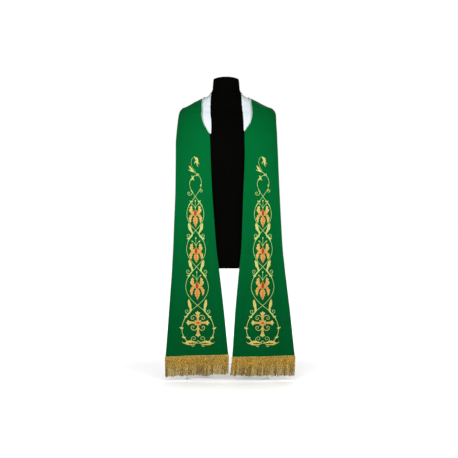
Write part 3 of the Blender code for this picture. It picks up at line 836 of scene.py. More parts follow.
CORDS = 214
CORD_SIDES = 6
CORD_SEGMENTS = 48
CORD_RADIUS = 0.00122
CORD_FLAT = 0.78  # of its twisted section
CORD_TURN = 0.0062  # length of one turn of its twist
FRINGE_PATCHES = 14  # of lighter and darker thread down each cord
TUFT_GATHER = 0.32  # how far the cords of a tuft draw together at their ends
TUFT_ENDS = 0.0018
CORD_ENDS = 0.0013
TUFT_FORWARD = 0.0014
BACK_CORDS_DEEPER = 0.0020
BACK_CORDS_SHORTER = 0.0030
BACK_CORDS_THICKER = 1.18
FRINGE_PAST = 0.004  # of the hem's width, past each of its corners
CORDS_START = 0.0005  # over the hem's lower edge
CORDS_LOWER = -0.0002  # than the solid's ends, which are the middle of theirs
HEADING_TOP = 0.0108
HEADING_LOW = 0.0020
HEADING_RISE = 0.0009
HEADING_ENDS = (-0.006, 1.006)  # shares across, so that it wraps the hem's corners
HEADING_WAVES = 38
HEADING_CORD_RADIUS = 0.00078
HEADING_CORD_TURN = 0.0048
TAPE_BACK = 0.0003  # the braid's tape starts this far off the cloth


def tubes(centres, radius, sides, flat=1.0, turn=math.inf):
    """Points of tubes round many centre lines at once: centres is strands x segments x 3."""
    ahead = np.gradient(centres, axis=1)
    ahead /= np.linalg.norm(ahead, axis=-1, keepdims=True)
    first = np.cross(ahead, (0.0, -1.0, 0.0))
    first /= np.linalg.norm(first, axis=-1, keepdims=True)
    second = np.cross(first, ahead)
    run = run_along(centres)
    twist = 2 * math.pi * run[..., None] / turn
    angle = 2 * math.pi * np.arange(sides) / sides
    a, b = np.cos(angle), flat * np.sin(angle)
    on_first = (a * np.cos(twist) - b * np.sin(twist))[..., None] * first[:, :, None]
    on_second = (a * np.sin(twist) + b * np.cos(twist))[..., None] * second[:, :, None]
    radius = np.broadcast_to(radius, run.shape)[..., None, None]
    points = centres[:, :, None] + radius * (on_first + on_second)
    around, along = np.broadcast_arrays(angle * 0.5 / math.pi * PLY_PITCH, run[..., None])
    return points, np.stack([around, along], axis=-1)


def tube_faces(strands, segments, sides):
    """Quads round each tube, and a cap at each of its ends."""
    first = segments * sides * np.arange(strands)[:, None]
    cap = np.arange(sides)
    walls = grid_faces(segments, sides, closed=True) + first[..., None]
    return [walls.reshape(-1, 4), cap + first, (segments - 1) * sides + cap[::-1] + first]


def tufts_of(draw):
    """For each cord: its tuft's number, and how many cords it stands from that tuft's middle."""
    number = np.arange(CORDS)
    tuft = np.repeat(number, draw.integers(4, 10, CORDS))[:CORDS]
    middle = np.bincount(tuft, number) / np.bincount(tuft)
    return tuft, number - middle[tuft]


def fringe_colour(draw, tuft, front, down, side):
    """Gold in patches, by tufts pale and brown in turn towards the cut ends, and darker in the layer behind
    as painted shade.
    """
    tone = (draw.permutation(tuft[-1] + 1) / tuft[-1])[tuft][:, None]
    patches = draw.uniform(0, 1, (CORDS, FRINGE_PATCHES))
    at = down[0] * (FRINGE_PATCHES - 1)
    grain = np.stack([np.interp(at, np.arange(FRINGE_PATCHES), row) for row in patches])
    high_light = 0.35 * tone + 0.65 * grain
    low_light = smooth_step(0.15, 0.85, 0.62 * tone + 0.38 * grain)
    # painted light: the cords' upper gold is painted 5 % lighter on the half at +X and 5 % darker on the half
    # at -X
    top = np.array(linear(228, 183, 76)) * (1 + 0.05 * side) * (0.66 + 0.76 * high_light)[..., None]
    brown, pale = np.array(linear(146, 108, 30)), np.array(linear(250, 220, 132))
    low = brown + (pale - brown) * low_light[..., None]
    share = smooth_step(0.20, 0.80, down)[..., None]
    # painted shade: the cords of the layer behind are painted darker
    behind = np.where(front, 1.0, 0.42)[:, None, None]
    return behind * (top + (low - top) * share)


def hem_path(surface, across, above, rise):
    """Points on the face of the hem, so high over its edge, also past its corners; and the hem's width."""
    inside = np.clip(across, 0, 1)
    path = surface.point(surface.end, inside, STOLE_CLEARANCE + STOLE_WALL + rise)
    width = abs(path[-1, 0] - path[0, 0])
    path[:, 0] += surface.half.side * (across - inside) * width
    path[:, 2] += above
    return path, width


def make_fringe(surface, material):
    """Twisted cords in two layers. They hang in tufts that draw together towards the cut ends."""
    half, ends = surface.half, surface.half.ends
    draw = np.random.default_rng(half.side + 5)
    number = np.arange(CORDS)
    front = number % 2 == 0
    tuft, aside = tufts_of(draw)
    across = -FRINGE_PAST + (1 + 2 * FRINGE_PAST) * (number + 0.5) / CORDS
    hem, width = hem_path(surface, across, 0.0, HEADING_RISE)
    height = ends.inner_height + across * (ends.outer_height - ends.inner_height)
    height = height + TUFT_ENDS * draw.uniform(-1, 1, CORDS)[tuft] + CORD_ENDS * draw.uniform(-1, 1, CORDS)
    height = height + np.where(front, 0.0, BACK_CORDS_SHORTER) - CORDS_LOWER
    lean = half.side * (ends.inner_lean + across * (ends.outer_lean - ends.inner_lean))
    gathered = -TUFT_GATHER * aside * width / CORDS * half.side * np.where(front, 1.0, 0.3)
    deep = hem[:, 1] + np.where(front, 0.0, BACK_CORDS_DEEPER)
    forward = TUFT_FORWARD * draw.uniform(-1, 1, CORDS)[tuft]
    start = hem[:, 2] + CORDS_START
    down = np.linspace(0, 1, CORD_SEGMENTS)[None]
    cord = number[:, None]
    wander = 0.00055 * np.sin(19 * down + 2.3 * cord) + 0.00045 * np.sin(33 * down + 5.7 * cord)
    wander = np.where(front[:, None], wander, 0.3 * wander) * np.minimum(1, 4 * down)
    x = hem[:, :1] + lean[:, None] * down + gathered[:, None] * down**1.4 + wander
    y = deep[:, None] + 0.0010 * np.sin(4.1 * cord + 3.2 * down) * down - forward[:, None] * down
    z = start[:, None] + (height - start)[:, None] * down
    taper = np.where(down > 0.985, 0.7, 1.0) * (1 - 0.06 * down)
    thick = CORD_RADIUS * np.where(front, 1.0, BACK_CORDS_THICKER)[:, None]
    points, uv = tubes(np.stack([x, y, z], axis=-1), thick * taper, CORD_SIDES, CORD_FLAT, CORD_TURN)
    colours = fringe_colour(draw, tuft, front, np.broadcast_to(down, z.shape), half.side)
    colours = np.broadcast_to(colours[:, :, None], points.shape)
    name = f"fringe_cords_{half.name}"
    mesh = mesh_of(name, points, tube_faces(*points.shape[:3]), uv, colours)
    return add_piece(name, mesh, material, "gold_thread", f"fringe_{half.name}")


def make_heading(surface, material):
    """A gimp braid on the hem: a flat tape, crossing zigzag cords on it and twisted cords along its edges."""
    parts = Parts()
    middle, swing = (HEADING_TOP - HEADING_LOW) / 2, (HEADING_TOP + HEADING_LOW) / 2 - 0.0016
    fine = np.linspace(*HEADING_ENDS, 620)
    cords = []
    for phase in (0.0, math.pi):
        turn = 2 * math.pi * HEADING_WAVES * fine + phase
        cords.append((middle + swing * np.sin(turn), 0.0012 + 0.0005 * np.cos(turn)))
    for above in (HEADING_TOP - 0.0009, -HEADING_LOW + 0.0009):
        cords.extend([(above, 0.0011), (above + 0.0013, HEADING_RISE)])
    centres = np.stack([hem_path(surface, fine, *place)[0] for place in cords])
    points, uv = tubes(centres, HEADING_CORD_RADIUS, CORD_SIDES, 0.8, HEADING_CORD_TURN)
    parts.add(points, tube_faces(*points.shape[:3]), uv, np.broadcast_to(linear(234, 198, 98), points.shape))
    coarse = np.linspace(*HEADING_ENDS, 120)
    top, low = HEADING_TOP, -HEADING_LOW
    edges = ((top, TAPE_BACK), (top, HEADING_RISE), (low, HEADING_RISE), (low, TAPE_BACK))
    tape = np.stack([hem_path(surface, coarse, *place)[0] for place in edges], axis=1)
    faces = [grid_faces(*tape.shape[:2], closed=True)]
    parts.add(tape, faces, tape[..., ::2], np.broadcast_to(linear(190, 148, 62), tape.shape))
    name = f"fringe_heading_{surface.half.name}"
    return add_piece(name, parts.mesh(name), material, "gold_thread")


# ---- the embroidery: strokes in millimetres, u from the middle of the band and v in height ----

STITCH_STEP = 1.1
LEAST_HALF_WIDTH = 0.3
SINK = -0.25  # the strokes' edges go this far into the cloth
LEAST_RISE = 0.10
FULL_RISE_HALF_WIDTH = 1.4  # narrower strokes rise less
VEIN_HALF_WIDTH = 0.16  # of the stroke's half width
# how much darker the groove along a stroke's middle is painted: painted shade
VEIN_PAINTED_SHADE = 0.45
LOBE_PHASES = (0.35, 0.15)  # of a stroke's left and right edges
SHADE_STRIP_WIDTH = 1.7  # of painted shade beside a leaf
STEM_SHADE_STRIP_WIDTH = 0.9
# From side to side of a stroke: how far its strip of painted shade reaches past it, its height, and its share
# of the green.
SHADE_STRIP_PAST = (1.0, 0.45, -0.3, -0.3, 0.45, 1.0)
SHADE_STRIP_RISE = (0.04, 0.14, 0.18, 0.18, 0.14, 0.04)
SHADE_STRIP_SHARE = (0.85, 0.36, 0.25, 0.25, 0.36, 0.85)

STEM, LEAF, YELLOW, ORANGE, FIRE, RED = range(6)
THREADS = np.array(
    [
        linear(184, 250, 146),
        linear(223, 230, 134),
        linear(240, 220, 112),
        linear(242, 166, 84),
        linear(208, 56, 0),
        linear(130, 12, 0),
    ]
)

# A row of a stroke: its place, its half width, its thread's shade, and its lift.
Row = namedtuple("Row", "u v width shade lift", defaults=(0.0,))
# How a stroke is stitched: its height, how its shade changes to its edges, how far its stitches slant, how
# deep the line along its middle is and how much darker it is painted as painted shade, how many lobes its
# edges have and how deep, and its cells across.
Look = namedtuple("Look", "rise rim slant vein lobes notch cells")

STEM_LOOK = Look(rise=0.9, rim=0.0, slant=0.55, vein=0.0, lobes=0, notch=0.0, cells=6)
LEAF_LOOK = Look(rise=1.2, rim=0.30, slant=1.0, vein=0.50, lobes=4, notch=0.20, cells=10)
PETAL_LOOK = Look(rise=1.3, rim=-1.0, slant=0.8, vein=0.30, lobes=4, notch=0.50, cells=10)
BUD_LOOK = Look(rise=1.2, rim=-0.3, slant=0.7, vein=0.0, lobes=0, notch=0.0, cells=8)


def through(rows, step):
    """A smooth curve through rows of numbers, the first two of them a place, at even steps."""
    slopes = np.gradient(rows, axis=0)
    fine = np.linspace(0, len(rows) - 1, 20 * (len(rows) - 1) + 1)
    k = np.minimum(fine.astype(int), len(rows) - 2)
    curve = hermite((fine - k)[:, None], rows[k], slopes[k], rows[k + 1], slopes[k + 1])
    run = run_along(curve[:, :2])
    even = np.linspace(0, run[-1], max(5, round(run[-1] / step) + 1))
    return even, np.column_stack([np.interp(even, run, column) for column in curve.T])


def thread_colour(shade):
    shade = np.clip(shade, 0, len(THREADS) - 1)
    return np.stack([np.interp(shade, np.arange(len(THREADS)), channel) for channel in THREADS.T], axis=-1)


def lobed(share, look, phase):
    """What the lobes leave of a stroke's half width, at a share of its length."""
    wave = np.abs(np.sin(math.pi * (look.lobes * share + phase)))
    return 1 - look.notch * (1 - wave) ** 1.5


class Embroidery:
    """Lays the strokes of one band on its cloth, with a strip of painted shade round each."""

    def __init__(self, surface):
        self.surface = surface
        self.strokes, self.painted_shade = Parts(), Parts()
        self.about(0, 0)

    def about(self, u, v, side=1, size=1):
        """Takes the places that follow from this one, at this size, and mirrored where side is -1."""
        self.centre, self.scale = np.array([u, v]), np.array([side * size, size])

    def middle_x(self, height):
        half = self.surface.half
        share = smooth_step(0.80, 0.15, height)
        return half.design_top_x + share * (half.design_low_x - half.design_top_x)

    def laid(self, spots, rise):
        x, height = spots[..., 0] * MM, spots[..., 1] * MM
        along, across = self.surface.place_of(x + self.middle_x(height), height)
        return self.surface.point(along, across, STOLE_CLEARANCE + STOLE_WALL + rise * MM)

    def stroke(self, rows, look):
        """Satin stitches across a smooth curve through the rows."""
        rows = np.array(rows, float)
        rows[:, :2] = self.centre + self.scale * rows[:, :2]
        run, path = through(rows, STITCH_STEP)
        place, width, shade, lift = path[:, :2], *path[:, 2:].T
        ahead = np.gradient(place, axis=0)
        ahead /= np.linalg.norm(ahead, axis=1, keepdims=True) + 1e-9
        aside = np.stack([ahead[:, 1], -ahead[:, 0]], axis=1)  # to the right of the way ahead
        left = right = np.maximum(width, LEAST_HALF_WIDTH)
        if look.lobes:
            share = run / run[-1]
            left, right = (left * lobed(share, look, phase) for phase in LOBE_PHASES)
        w = np.linspace(-1, 1, look.cells + 1)
        reach_aside = np.where(w < 0, w * left[:, None], w * right[:, None])
        spots = place[:, None] + reach_aside[..., None] * aside[:, None]
        half_width = (left + right)[:, None] / 2
        split = np.exp(-((w / VEIN_HALF_WIDTH) ** 2))
        dome = np.sqrt(np.clip(1 - w**2, 0, 1)) - look.vein * split
        rise = look.rise * np.minimum(1, half_width / FULL_RISE_HALF_WIDTH) * dome
        rise += LEAST_RISE + np.maximum(lift, 0)[:, None]
        rise[:, [0, -1]] = SINK
        stitches = (run[:, None] + look.slant * np.abs(reach_aside)) * MM
        # the tint is painted darker along the middle groove, as painted shade
        tint = thread_colour(shade[:, None] + look.rim * w**2) * (1 - VEIN_PAINTED_SHADE * look.vein * split)[:, None]
        uv = np.stack([reach_aside * MM, stitches], axis=-1)
        self.strokes.add(self.laid(spots, rise), [grid_faces(len(run), len(w))], uv, tint)
        shade_strip_width = STEM_SHADE_STRIP_WIDTH if look is STEM_LOOK else SHADE_STRIP_WIDTH
        self.pucker(place, ahead, aside, left, right, shade_strip_width)

    def pucker(self, place, ahead, aside, left, right, width):
        """A thin strip of painted shade on the cloth round a stroke, dark next to the stroke."""
        sides = np.array([-1, -1, -1, 1, 1, 1])
        half_width = np.where(sides < 0, left[:, None], right[:, None])
        reach_aside = sides * (half_width + width * np.array(SHADE_STRIP_PAST))
        place = place.copy()
        place[0] -= ahead[0] * width
        place[-1] += ahead[-1] * width
        spots = place[:, None] + reach_aside[..., None] * aside[:, None]
        shade = np.broadcast_to(SHADE_STRIP_SHARE, spots.shape[:2]).copy()
        shade[[0, -1]] = SHADE_STRIP_SHARE[0]
        points, faces = self.laid(spots, np.array(SHADE_STRIP_RISE)), [grid_faces(*shade.shape)]
        self.painted_shade.add(points, faces, colours=np.repeat(shade[..., None], 3, axis=-1))

    def stem(self, places, width=1.25, shade=STEM, end_width=None):
        """A stem through places, its half width from start to end."""
        widths = np.linspace(width, width if end_width is None else end_width, len(places))
        self.stroke([Row(u, v, w, shade) for (u, v), w in zip(places, widths)], STEM_LOOK)

    def blade(self, start, tip, belly, bend=0.0, shades=(LEAF, LEAF), look=LEAF_LOOK, fullness=0.45):
        """A leaf or petal from start to tip, fullest at that share of its length, bent to its right."""
        (u0, v0), (u1, v1) = start, tip
        along_u, along_v = u1 - u0, v1 - v0
        rows = []
        for share in (0.0, 0.12, 0.30, 0.50, 0.70, 0.86, 1.0):
            swell = abs(math.sin(math.pi * share ** (math.log(0.5) / math.log(fullness)))) ** 0.8
            off = bend * math.sin(math.pi * share)
            u = u0 + share * along_u + off * along_v
            v = v0 + share * along_v - off * along_u
            width = max(0.5, belly * swell)
            rows.append(Row(u, v, width, shades[0] + share * (shades[1] - shades[0])))
        self.stroke(rows, look)

    def bud(self, start, tip, belly, **more):
        """A small smooth leaf."""
        self.blade(start, tip, belly, look=BUD_LOOK, **more)

    def spine(self, spots, shades, look):
        """A stroke through (u, v, half width) rows, with the widths too at this size."""
        shades = np.linspace(*shades, len(spots))
        size = self.scale[1]
        self.stroke([Row(u, v, width * size, shade) for (u, v, width), shade in zip(spots, shades)], look)

    def curl(self, start, centre, radius, way=1, turns=1.35, width=1.15, shade=0.5):
        """A stem that runs from start into a spiral round centre; way is 1 to the left, -1 to the right."""
        u0, v0 = start[0] - centre[0], start[1] - centre[1]
        begin = math.hypot(u0, v0)
        share = np.linspace(0, 1, 17)
        angle = math.atan2(v0, u0) + way * share * turns * 2 * math.pi
        out = begin + (radius - begin) * np.minimum(1.0, share / 0.35)
        out *= 1 - 0.66 * np.maximum(0.0, share - 0.35) / 0.65
        places = zip(centre[0] + out * np.cos(angle), centre[1] + out * np.sin(angle))
        self.stem(list(places), 1.25 * width, shade, 0.90 * width)

    def finish(self, material, pucker_material):
        made = []
        # the strips of painted shade round the strokes get a mesh of their own
        for kind, parts, paint, slot in (
            ("embroidery", self.strokes, material, "gold_thread"),
            ("pucker", self.painted_shade, pucker_material, "green_cloth"),
        ):
            name = f"{kind}_{self.surface.half.name}"
            mesh = parts.mesh(name)
            if sum(mesh.polygons[k].normal.y for k in range(0, len(mesh.polygons), 97)) > 0:
                mesh.flip_normals()
            made.append(add_piece(name, mesh, paint, slot))
        return made


# Heights of the crossings of the two stems, and the half width of the loop below each.
Loop = namedtuple("Loop", "top low half_width")
LOOPS = table(Loop, (792, 647, 36.5), (647, 491, 40.5), (491, 325, 48.5))
# Shares down the loop and out of its half width, with the stem's half width.
LOOP_SHAPE = (
    (0.0, 0.0, 1.22),
    (0.075, 0.23, 1.28),
    (0.155, 0.47, 1.6),
    (0.24, 0.70, 2.3),
    (0.34, 0.88, 1.2),
    (0.49, 1.0, 1.22),
    (0.61, 0.97, 1.22),
    (0.72, 0.83, 1.28),
    (0.82, 0.61, 1.22),
    (0.91, 0.34, 1.2),
)
# The same down from the last crossing, in millimetres: half of the pear-shaped frame.
FRAME_SHAPE = (
    (0, 0, 1.22),
    (17, -13, 1.28),
    (31, -25, 1.8),
    (41, -37, 2.4),
    (52, -50, 2.2),
    (61, -67, 1.6),
    (67, -86, 1.45),
    (68.5, -100, 1.8),
    (67, -118, 1.45),
    (60, -136, 1.9),
    (50, -149, 1.6),
    (40, -157, 1.6),
)


def vine(work):
    """Two stems that cross and part down the band, over and under, and end in the pear-shaped frame."""
    for first_side in (-1, 1):
        rows = []
        for k, loop in enumerate(LOOPS):
            side = first_side * (-1) ** k
            for down, out, width in LOOP_SHAPE:
                lift = 0.8 if down == 0 and side > 0 else 0.0
                height = loop.top - down * (loop.top - loop.low)
                rows.append(Row(side * out * loop.half_width, height, width, 0.15, lift))
        side = first_side * (-1) ** len(LOOPS)
        for u, down, width in FRAME_SHAPE:
            lift = 0.8 if down == 0 and side > 0 else 0.0
            rows.append(Row(side * u, LOOPS[-1].low + down, width, 0.9, lift))
        work.stroke(rows, STEM_LOOK)


# The right leaf beside a crossing: its tip, belly and root, then the middle of its curl and its bract.
CrossingLeaf = namedtuple("CrossingLeaf", "tip belly root curl bract shade")
CROSSING_LEAVES = table(
    CrossingLeaf,
    ((31, 32), (25, 12), (13.5, -14), (30, -22), (31, -37), LEAF + 0.1),
    ((33, 30), (26.5, 11), (17, -15), (36.5, -20), (35, -40), LEAF + 0.6),
    ((39, 27), (34, 4), (29, -23), (46, -25), (51, -50), LEAF + 1.1),
)


def crossing_leaf(work, height, side, leaf):
    """An upright leaf beside a crossing that runs down into the stem, with a curl and a bract under it."""
    (tip_u, tip_v), (belly_u, belly_v), (root_u, root_v), curl, (end_u, end_v), shade = leaf
    rows = (
        (tip_u - 1.5, tip_v, 0.5),
        (tip_u - 2.0, tip_v - 6, 4.2),
        (belly_u + 1.2, belly_v + 6, 7.2),
        (belly_u - 1.2, belly_v - 6, 6.8),
        ((belly_u + root_u) / 2 - 1.5, (belly_v + root_v) / 2 - 4, 4.6),
        (root_u, root_v, 3.0),
        ((root_u + end_u) / 2, (root_v + end_v) / 2, 2.8),
        (end_u, end_v, 2.6),
    )
    work.about(0, height, side)
    work.spine(rows, (shade, LEAF - 0.3), LEAF_LOOK)
    work.curl((root_u + 6.5, root_v + 8), curl, 7.6, turns=1.45, shade=0.35)
    bract(work, side * end_u, height + end_v, side, 6.6)


def bract(work, u, v, side, size):
    """A small cup on a stem, with a point to each side."""
    work.about(u, v, side, size)
    for du, dv, belly in ((1.20, 0.80, 0.40), (0.15, 0.75, 0.50), (-1.05, 0.35, 0.36)):
        work.bud((-0.1 * du / size, -0.35), (du, dv), belly * size)


# Half of the lily about its heart: places and half widths.
UPRIGHT_PETAL = ((5, -13, 4.5), (13, -6, 7.0), (19, 5, 8.2), (21, 16, 8.4), (20, 26, 6.6), (16.5, 34, 0.8))
UPRIGHT_FLAP = ((16, -2, 2.0), (23, 4, 4.4), (27.5, 10, 3.6), (28.5, 17, 0.8))
DROOPING_PETAL = ((5, -10, 4), (15, -12, 6), (23, -19, 8), (26, -29, 8.2), (26, -39, 5.4), (24, -50, 0.8))
TONGUE = ((0, -12, 4), (0, -20, 6), (0, -28, 12), (0, -38, 14), (0, -48, 11.5), (0, -58, 6.4), (0, -70, 0.8))
HEART = ((0, -18, 0.8), (0, -11, 6.2), (0, -3, 8.6), (0, 5, 7.4), (0, 14, 0.8))
HEART_RIM = ((0, -22, 2.0), (0, -13, 8.4), (0, -3, 11.0), (0, 6, 9.2), (0, 15, 1.0))

# How far down its loop each lily's heart lies, its size, how long what hangs from it is, and its warmth.
LILIES = ((0.47, 0.87, 1.06, 0.0), (0.55, 0.91, 0.86, 0.35), (0.47, 0.95, 0.98, 0.55))


def lily(work, height, size, fall, warmth):
    """A hanging lily: upright and drooping petals round a red heart, an orange tongue and three stamens."""
    drooping = [(u, v * fall, width) for u, v, width in DROOPING_PETAL]
    tongue = [(u, v * fall, width) for u, v, width in TONGUE]
    flap_look, upright_look = BUD_LOOK._replace(rise=0.9), PETAL_LOOK._replace(rise=1.5)
    tongue_look = PETAL_LOOK._replace(rise=1.6, lobes=5, notch=0.40, rim=-1.5)
    for side in (-1, 1):
        work.about(0, height, side, size)
        work.spine(drooping, (ORANGE + 0.3, YELLOW + 0.25 + warmth), PETAL_LOOK)
        work.spine(UPRIGHT_FLAP, (ORANGE - 0.5, YELLOW), flap_look)
        work.spine(UPRIGHT_PETAL, (ORANGE + 0.4, YELLOW - 0.1 + warmth), upright_look)
    work.spine(tongue, (ORANGE + 0.3, ORANGE + 0.55), tongue_look)
    work.spine(HEART_RIM, (ORANGE + 0.2, ORANGE + 0.2), BUD_LOOK._replace(rise=1.9, rim=-0.6))
    work.spine(HEART, (FIRE + 0.9, FIRE + 0.6), BUD_LOOK._replace(rise=2.7, rim=-1.0))
    work.stem([(0, 12), (0, 26), (0, 40), (0, 53)], 0.9)
    work.bud((0, 51), (0, 63), 3.0, shades=(STEM, LEAF), fullness=0.6)
    for side in (-1, 1):
        work.about(0, height, side, size)
        work.stem([(0, 20), (4, 29), (10, 37), (16, 42)], 1.2, end_width=0.9)
        work.bud((11, 38), (21, 46), 2.8, shades=(STEM, LEAF), fullness=0.6)


def finial(work):
    """A small loop over the first crossing, and a crook with a leaf and a hanging bud."""
    work.about(0, LOOPS[0].top)
    work.stem([(0, 0), (-11, 18), (-21, 38), (-24, 57), (-18, 76), (-4, 88), (8, 92)], 1.05, 0.2, 1.3)
    work.stem([(0, 0), (11, 16), (21, 32), (26, 50), (26, 66), (21, 81), (12, 92)], 1.05, 0.2, 1.2)
    work.bud((-6, 87), (-21, 69), 3.0, bend=-0.10)
    work.bud((-11, 81), (-16, 92), 2.6)
    work.bud((-13, 81), (-4, 69), 3.0)
    work.bud((27, 50), (19, 45), 2.4)
    work.bud((26, 44), (22, 54), 2.2)
    work.curl((-14, 24), (-27, 15), 6.0, way=-1, turns=1.4)
    work.curl((17, 26), (24, 24), 6.0, way=-1, turns=1.3)
    work.bud((-20, 26), (-11, 22), 2.6)
    work.curl((6, 92), (11, 93), 4.6, way=-1, turns=1.15, width=1.6, shade=0.8)
    work.stem([(7, 96), (-4, 111), (-13, 126), (-18, 143), (-16, 158), (-8, 170), (0, 173)], 1.1, 0.1, 0.7)
    work.blade((-6, 171), (9, 147), 7.0, bend=-0.16, shades=(LEAF, YELLOW - 0.7), fullness=0.55)
    for tip in ((18, 139), (-4, 140), (12, 127)):
        work.bud((7, 156), tip, 2.8, bend=0.08, shades=(YELLOW - 0.5, LEAF))
    work.blade((4, 97), (-28, 134), 4.6, bend=-0.04, fullness=0.66)
    work.bud((-6, 104), (-31, 115), 3.0, bend=0.05, shades=(LEAF, LEAF - 0.2))


ACANTHUS = (
    *((1, 0, 1.6), (13, 3, 3.0), (26, 6, 4.8), (39, 6, 6.8)),
    *((51, 2, 5.6), (60, 0, 2.8), (67, 3, 1.2), (71, 9, 0.5)),
)
ACANTHUS_UNDER = ((9, -2, 1.3), (20, -4, 1.8), (32, -5, 2.6), (44, -5, 3.4), (55, -4, 0.8))


def pear_frame_leaves(work):
    """Bracts on the frame, and a pair of acanthus leaves that hold its foot."""
    base = LOOPS[-1].low
    under, over = LEAF_LOOK._replace(lobes=2, rise=0.9), LEAF_LOOK._replace(lobes=5, notch=0.48)
    for side in (-1, 1):
        for u, down in ((69.5, 98), (60, 138)):
            bract(work, side * u, base - down, side, 7.6)
        work.about(1.5, base - 162, side)
        work.spine(ACANTHUS_UNDER, (YELLOW, YELLOW + 0.2), under)
        work.spine(ACANTHUS, (YELLOW + 0.25, YELLOW - 0.2), over)
        work.about(0, base - 162, side)
        work.curl((28, -4), (20, -8), 4.6, way=-1, turns=1.3, width=1.0, shade=0.9)


def plain_cross(work):
    """A plain cross with budded ends and scrolls in its corners, over a pair of larger scrolls."""
    base = LOOPS[-1].low
    work.about(0, base - 74)
    for du, dv, length in ((0, 1, 38), (0, -1, 50), (1, 0, 38), (-1, 0, 38)):
        end_u, end_v = length * du, length * dv
        bar = ((0.0, 5.6), (0.35, 4.6), (0.70, 4.8), (0.86, 6.4), (1.0, 8.0))
        rows = [Row(share * end_u, share * end_v, width, ORANGE + 0.15) for share, width in bar]
        work.stroke(rows, BUD_LOOK._replace(rise=1.6, rim=-1.9, cells=10))
        for turn in (-64, 0, 64):
            angle = math.atan2(dv, du) + math.radians(turn)
            tip = (end_u + 12 * math.cos(angle), end_v + 12 * math.sin(angle))
            work.bud((end_u, end_v), tip, 4.1, shades=(LEAF + 0.5, LEAF), fullness=0.6)
    for du, dv in ((1, 1), (-1, 1), (1, -1), (-1, -1)):
        work.curl((5 * du, 5 * dv), (22 * du, 20 * dv), 8.2, way=-du * dv, width=1.3, shade=1.0)
        work.bud((5 * du, 5 * dv), (15 * du, 11 * dv), 2.4, shades=(ORANGE, LEAF))
    stone = BUD_LOOK._replace(rise=2.4, rim=-1.2)
    work.blade((-9, 0), (9, 0), 8.0, shades=(FIRE, FIRE), look=stone, fullness=0.5)
    for side in (-1, 1):
        work.about(0, base - 150, side)
        work.curl((0, 0), (18, 8), 9.5, turns=1.45, width=1.1, shade=0.2)


def make_embroidery(surface, material, pucker_material):
    work = Embroidery(surface)
    vine(work)
    finial(work)
    for side in (-1, 1):
        bract(work, side * 16.5, LOOPS[0].top - 22, side, 6.4)
        for loop, leaf in zip(LOOPS, CROSSING_LEAVES):
            crossing_leaf(work, loop.low, side, leaf)
    for loop, (share, size, fall, warmth) in zip(LOOPS, LILIES):
        lily(work, loop.top - share * (loop.top - loop.low), size, fall, warmth)
    pear_frame_leaves(work)
    plain_cross(work)
    return work.finish(material, pucker_material)


# ---- the dress form and its stand ----

FORM_SEGMENTS = 144
FORM_STEP = 0.0045
CAP_STEP = 0.0030
LEVEL_SEAMS = ((1.2140, 0.0009), (1.1510, 0.0009), (0.4975, 0.0007))  # heights and depths
PANEL_SEAMS = (-0.5, 0.5, -0.335, -0.665, 0.335, 0.665)  # the side, front and back ones, in half turns
PANEL_SEAM_DEPTH = 0.0006


def seam(distance, depth, half_width=0.0011):
    """A stitched seam: a narrow groove between two slight welts."""
    share = distance / half_width
    return depth * (np.exp(-(share**2)) - 0.45 * np.exp(-(((np.abs(share) - 2.6) / 1.2) ** 2)))


def groove(angle, height, level_seams, panel_seams):
    """How far the seams sink the cloth."""
    total = np.zeros(np.broadcast(angle, height).shape)
    for level, depth in level_seams:
        total = total + seam(height - level, depth)
    for place in panel_seams:
        wander = 0.02 * np.sin(6 * height + 9 * place)
        offset = np.angle(np.exp(1j * (angle - math.pi * (place + wander))))
        total = total + seam(offset * 0.13, PANEL_SEAM_DEPTH) * smooth_step(1.150, 1.145, height)
    return total


def loft_grid(levels, heights, *seams):
    """Rings of points round a body of rounded sections, sunk at its seams."""
    half_width, front, back, power = (column[:, None] for column in level_table(levels).at(heights).T)
    angle = 2 * math.pi * np.arange(FORM_SEGMENTS)[None] / FORM_SEGMENTS
    across, deep = np.cos(angle), np.sin(angle)
    sunk = groove(angle, heights[:, None], *seams)
    x = (half_width - sunk) * np.sign(across) * np.abs(across) ** (2 / power)
    y = (np.where(deep > 0, back, front) - sunk) * np.sign(deep) * np.abs(deep) ** (2 / power)
    height = np.broadcast_to(heights[:, None], x.shape)
    return leaned(np.stack([x, y, height], axis=-1))


def make_body(name, replaced, levels, step, material, level_seams=(), panel_seams=()):
    """A body of the form, with closer rings at its ends and level seams."""
    low, high = levels[0].height, levels[-1].height
    heights = [np.linspace(low, high, max(8, round((high - low) / step)))]
    heights.append([level.height for level in (*levels[:2], *levels[-5:])])
    heights.extend(level + np.linspace(-0.005, 0.005, 15) for level, _ in level_seams)
    heights = np.unique(np.round(np.concatenate(heights), 5))
    rings = loft_grid(levels, heights, level_seams, panel_seams)
    first_ring = np.arange(FORM_SEGMENTS)[None]
    last_ring = (len(heights) - 1) * FORM_SEGMENTS + first_ring
    walls = grid_faces(len(heights), FORM_SEGMENTS, closed=True)
    mesh = mesh_of(name, rings, [walls, first_ring[:, ::-1], last_ring])
    mesh.set_sharp_from_angle(angle=math.radians(40))
    return add_piece(name, mesh, material, "black_jersey", replaced)


def finish_stand(material):
    """The stand shows its solids as packed, in this material."""
    for name in ("stand_plate", "post_right", "post_left"):
        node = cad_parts[name]
        node.data.materials.clear()
        node.data.materials.append(material)


# ---- stage, light and camera ----

CAMERA_PLACE = (0.0065, -4.725, 0.653)
SENSOR_MM = 36.0
LENS_MM = 84.39

Lamp = namedtuple("Lamp", "name place target size power")
LAMPS = table(
    Lamp,
    ("key", (-0.50, -2.20, 1.25), (0.00, -0.10, 0.72), 0.9, 35.5),
    ("fill", (0.95, -2.30, 1.15), (0.05, -0.10, 0.75), 1.0, 18.5),
    ("back", (0.40, 2.40, 2.20), (0.00, 0.10, 0.90), 1.6, 16.0),
)
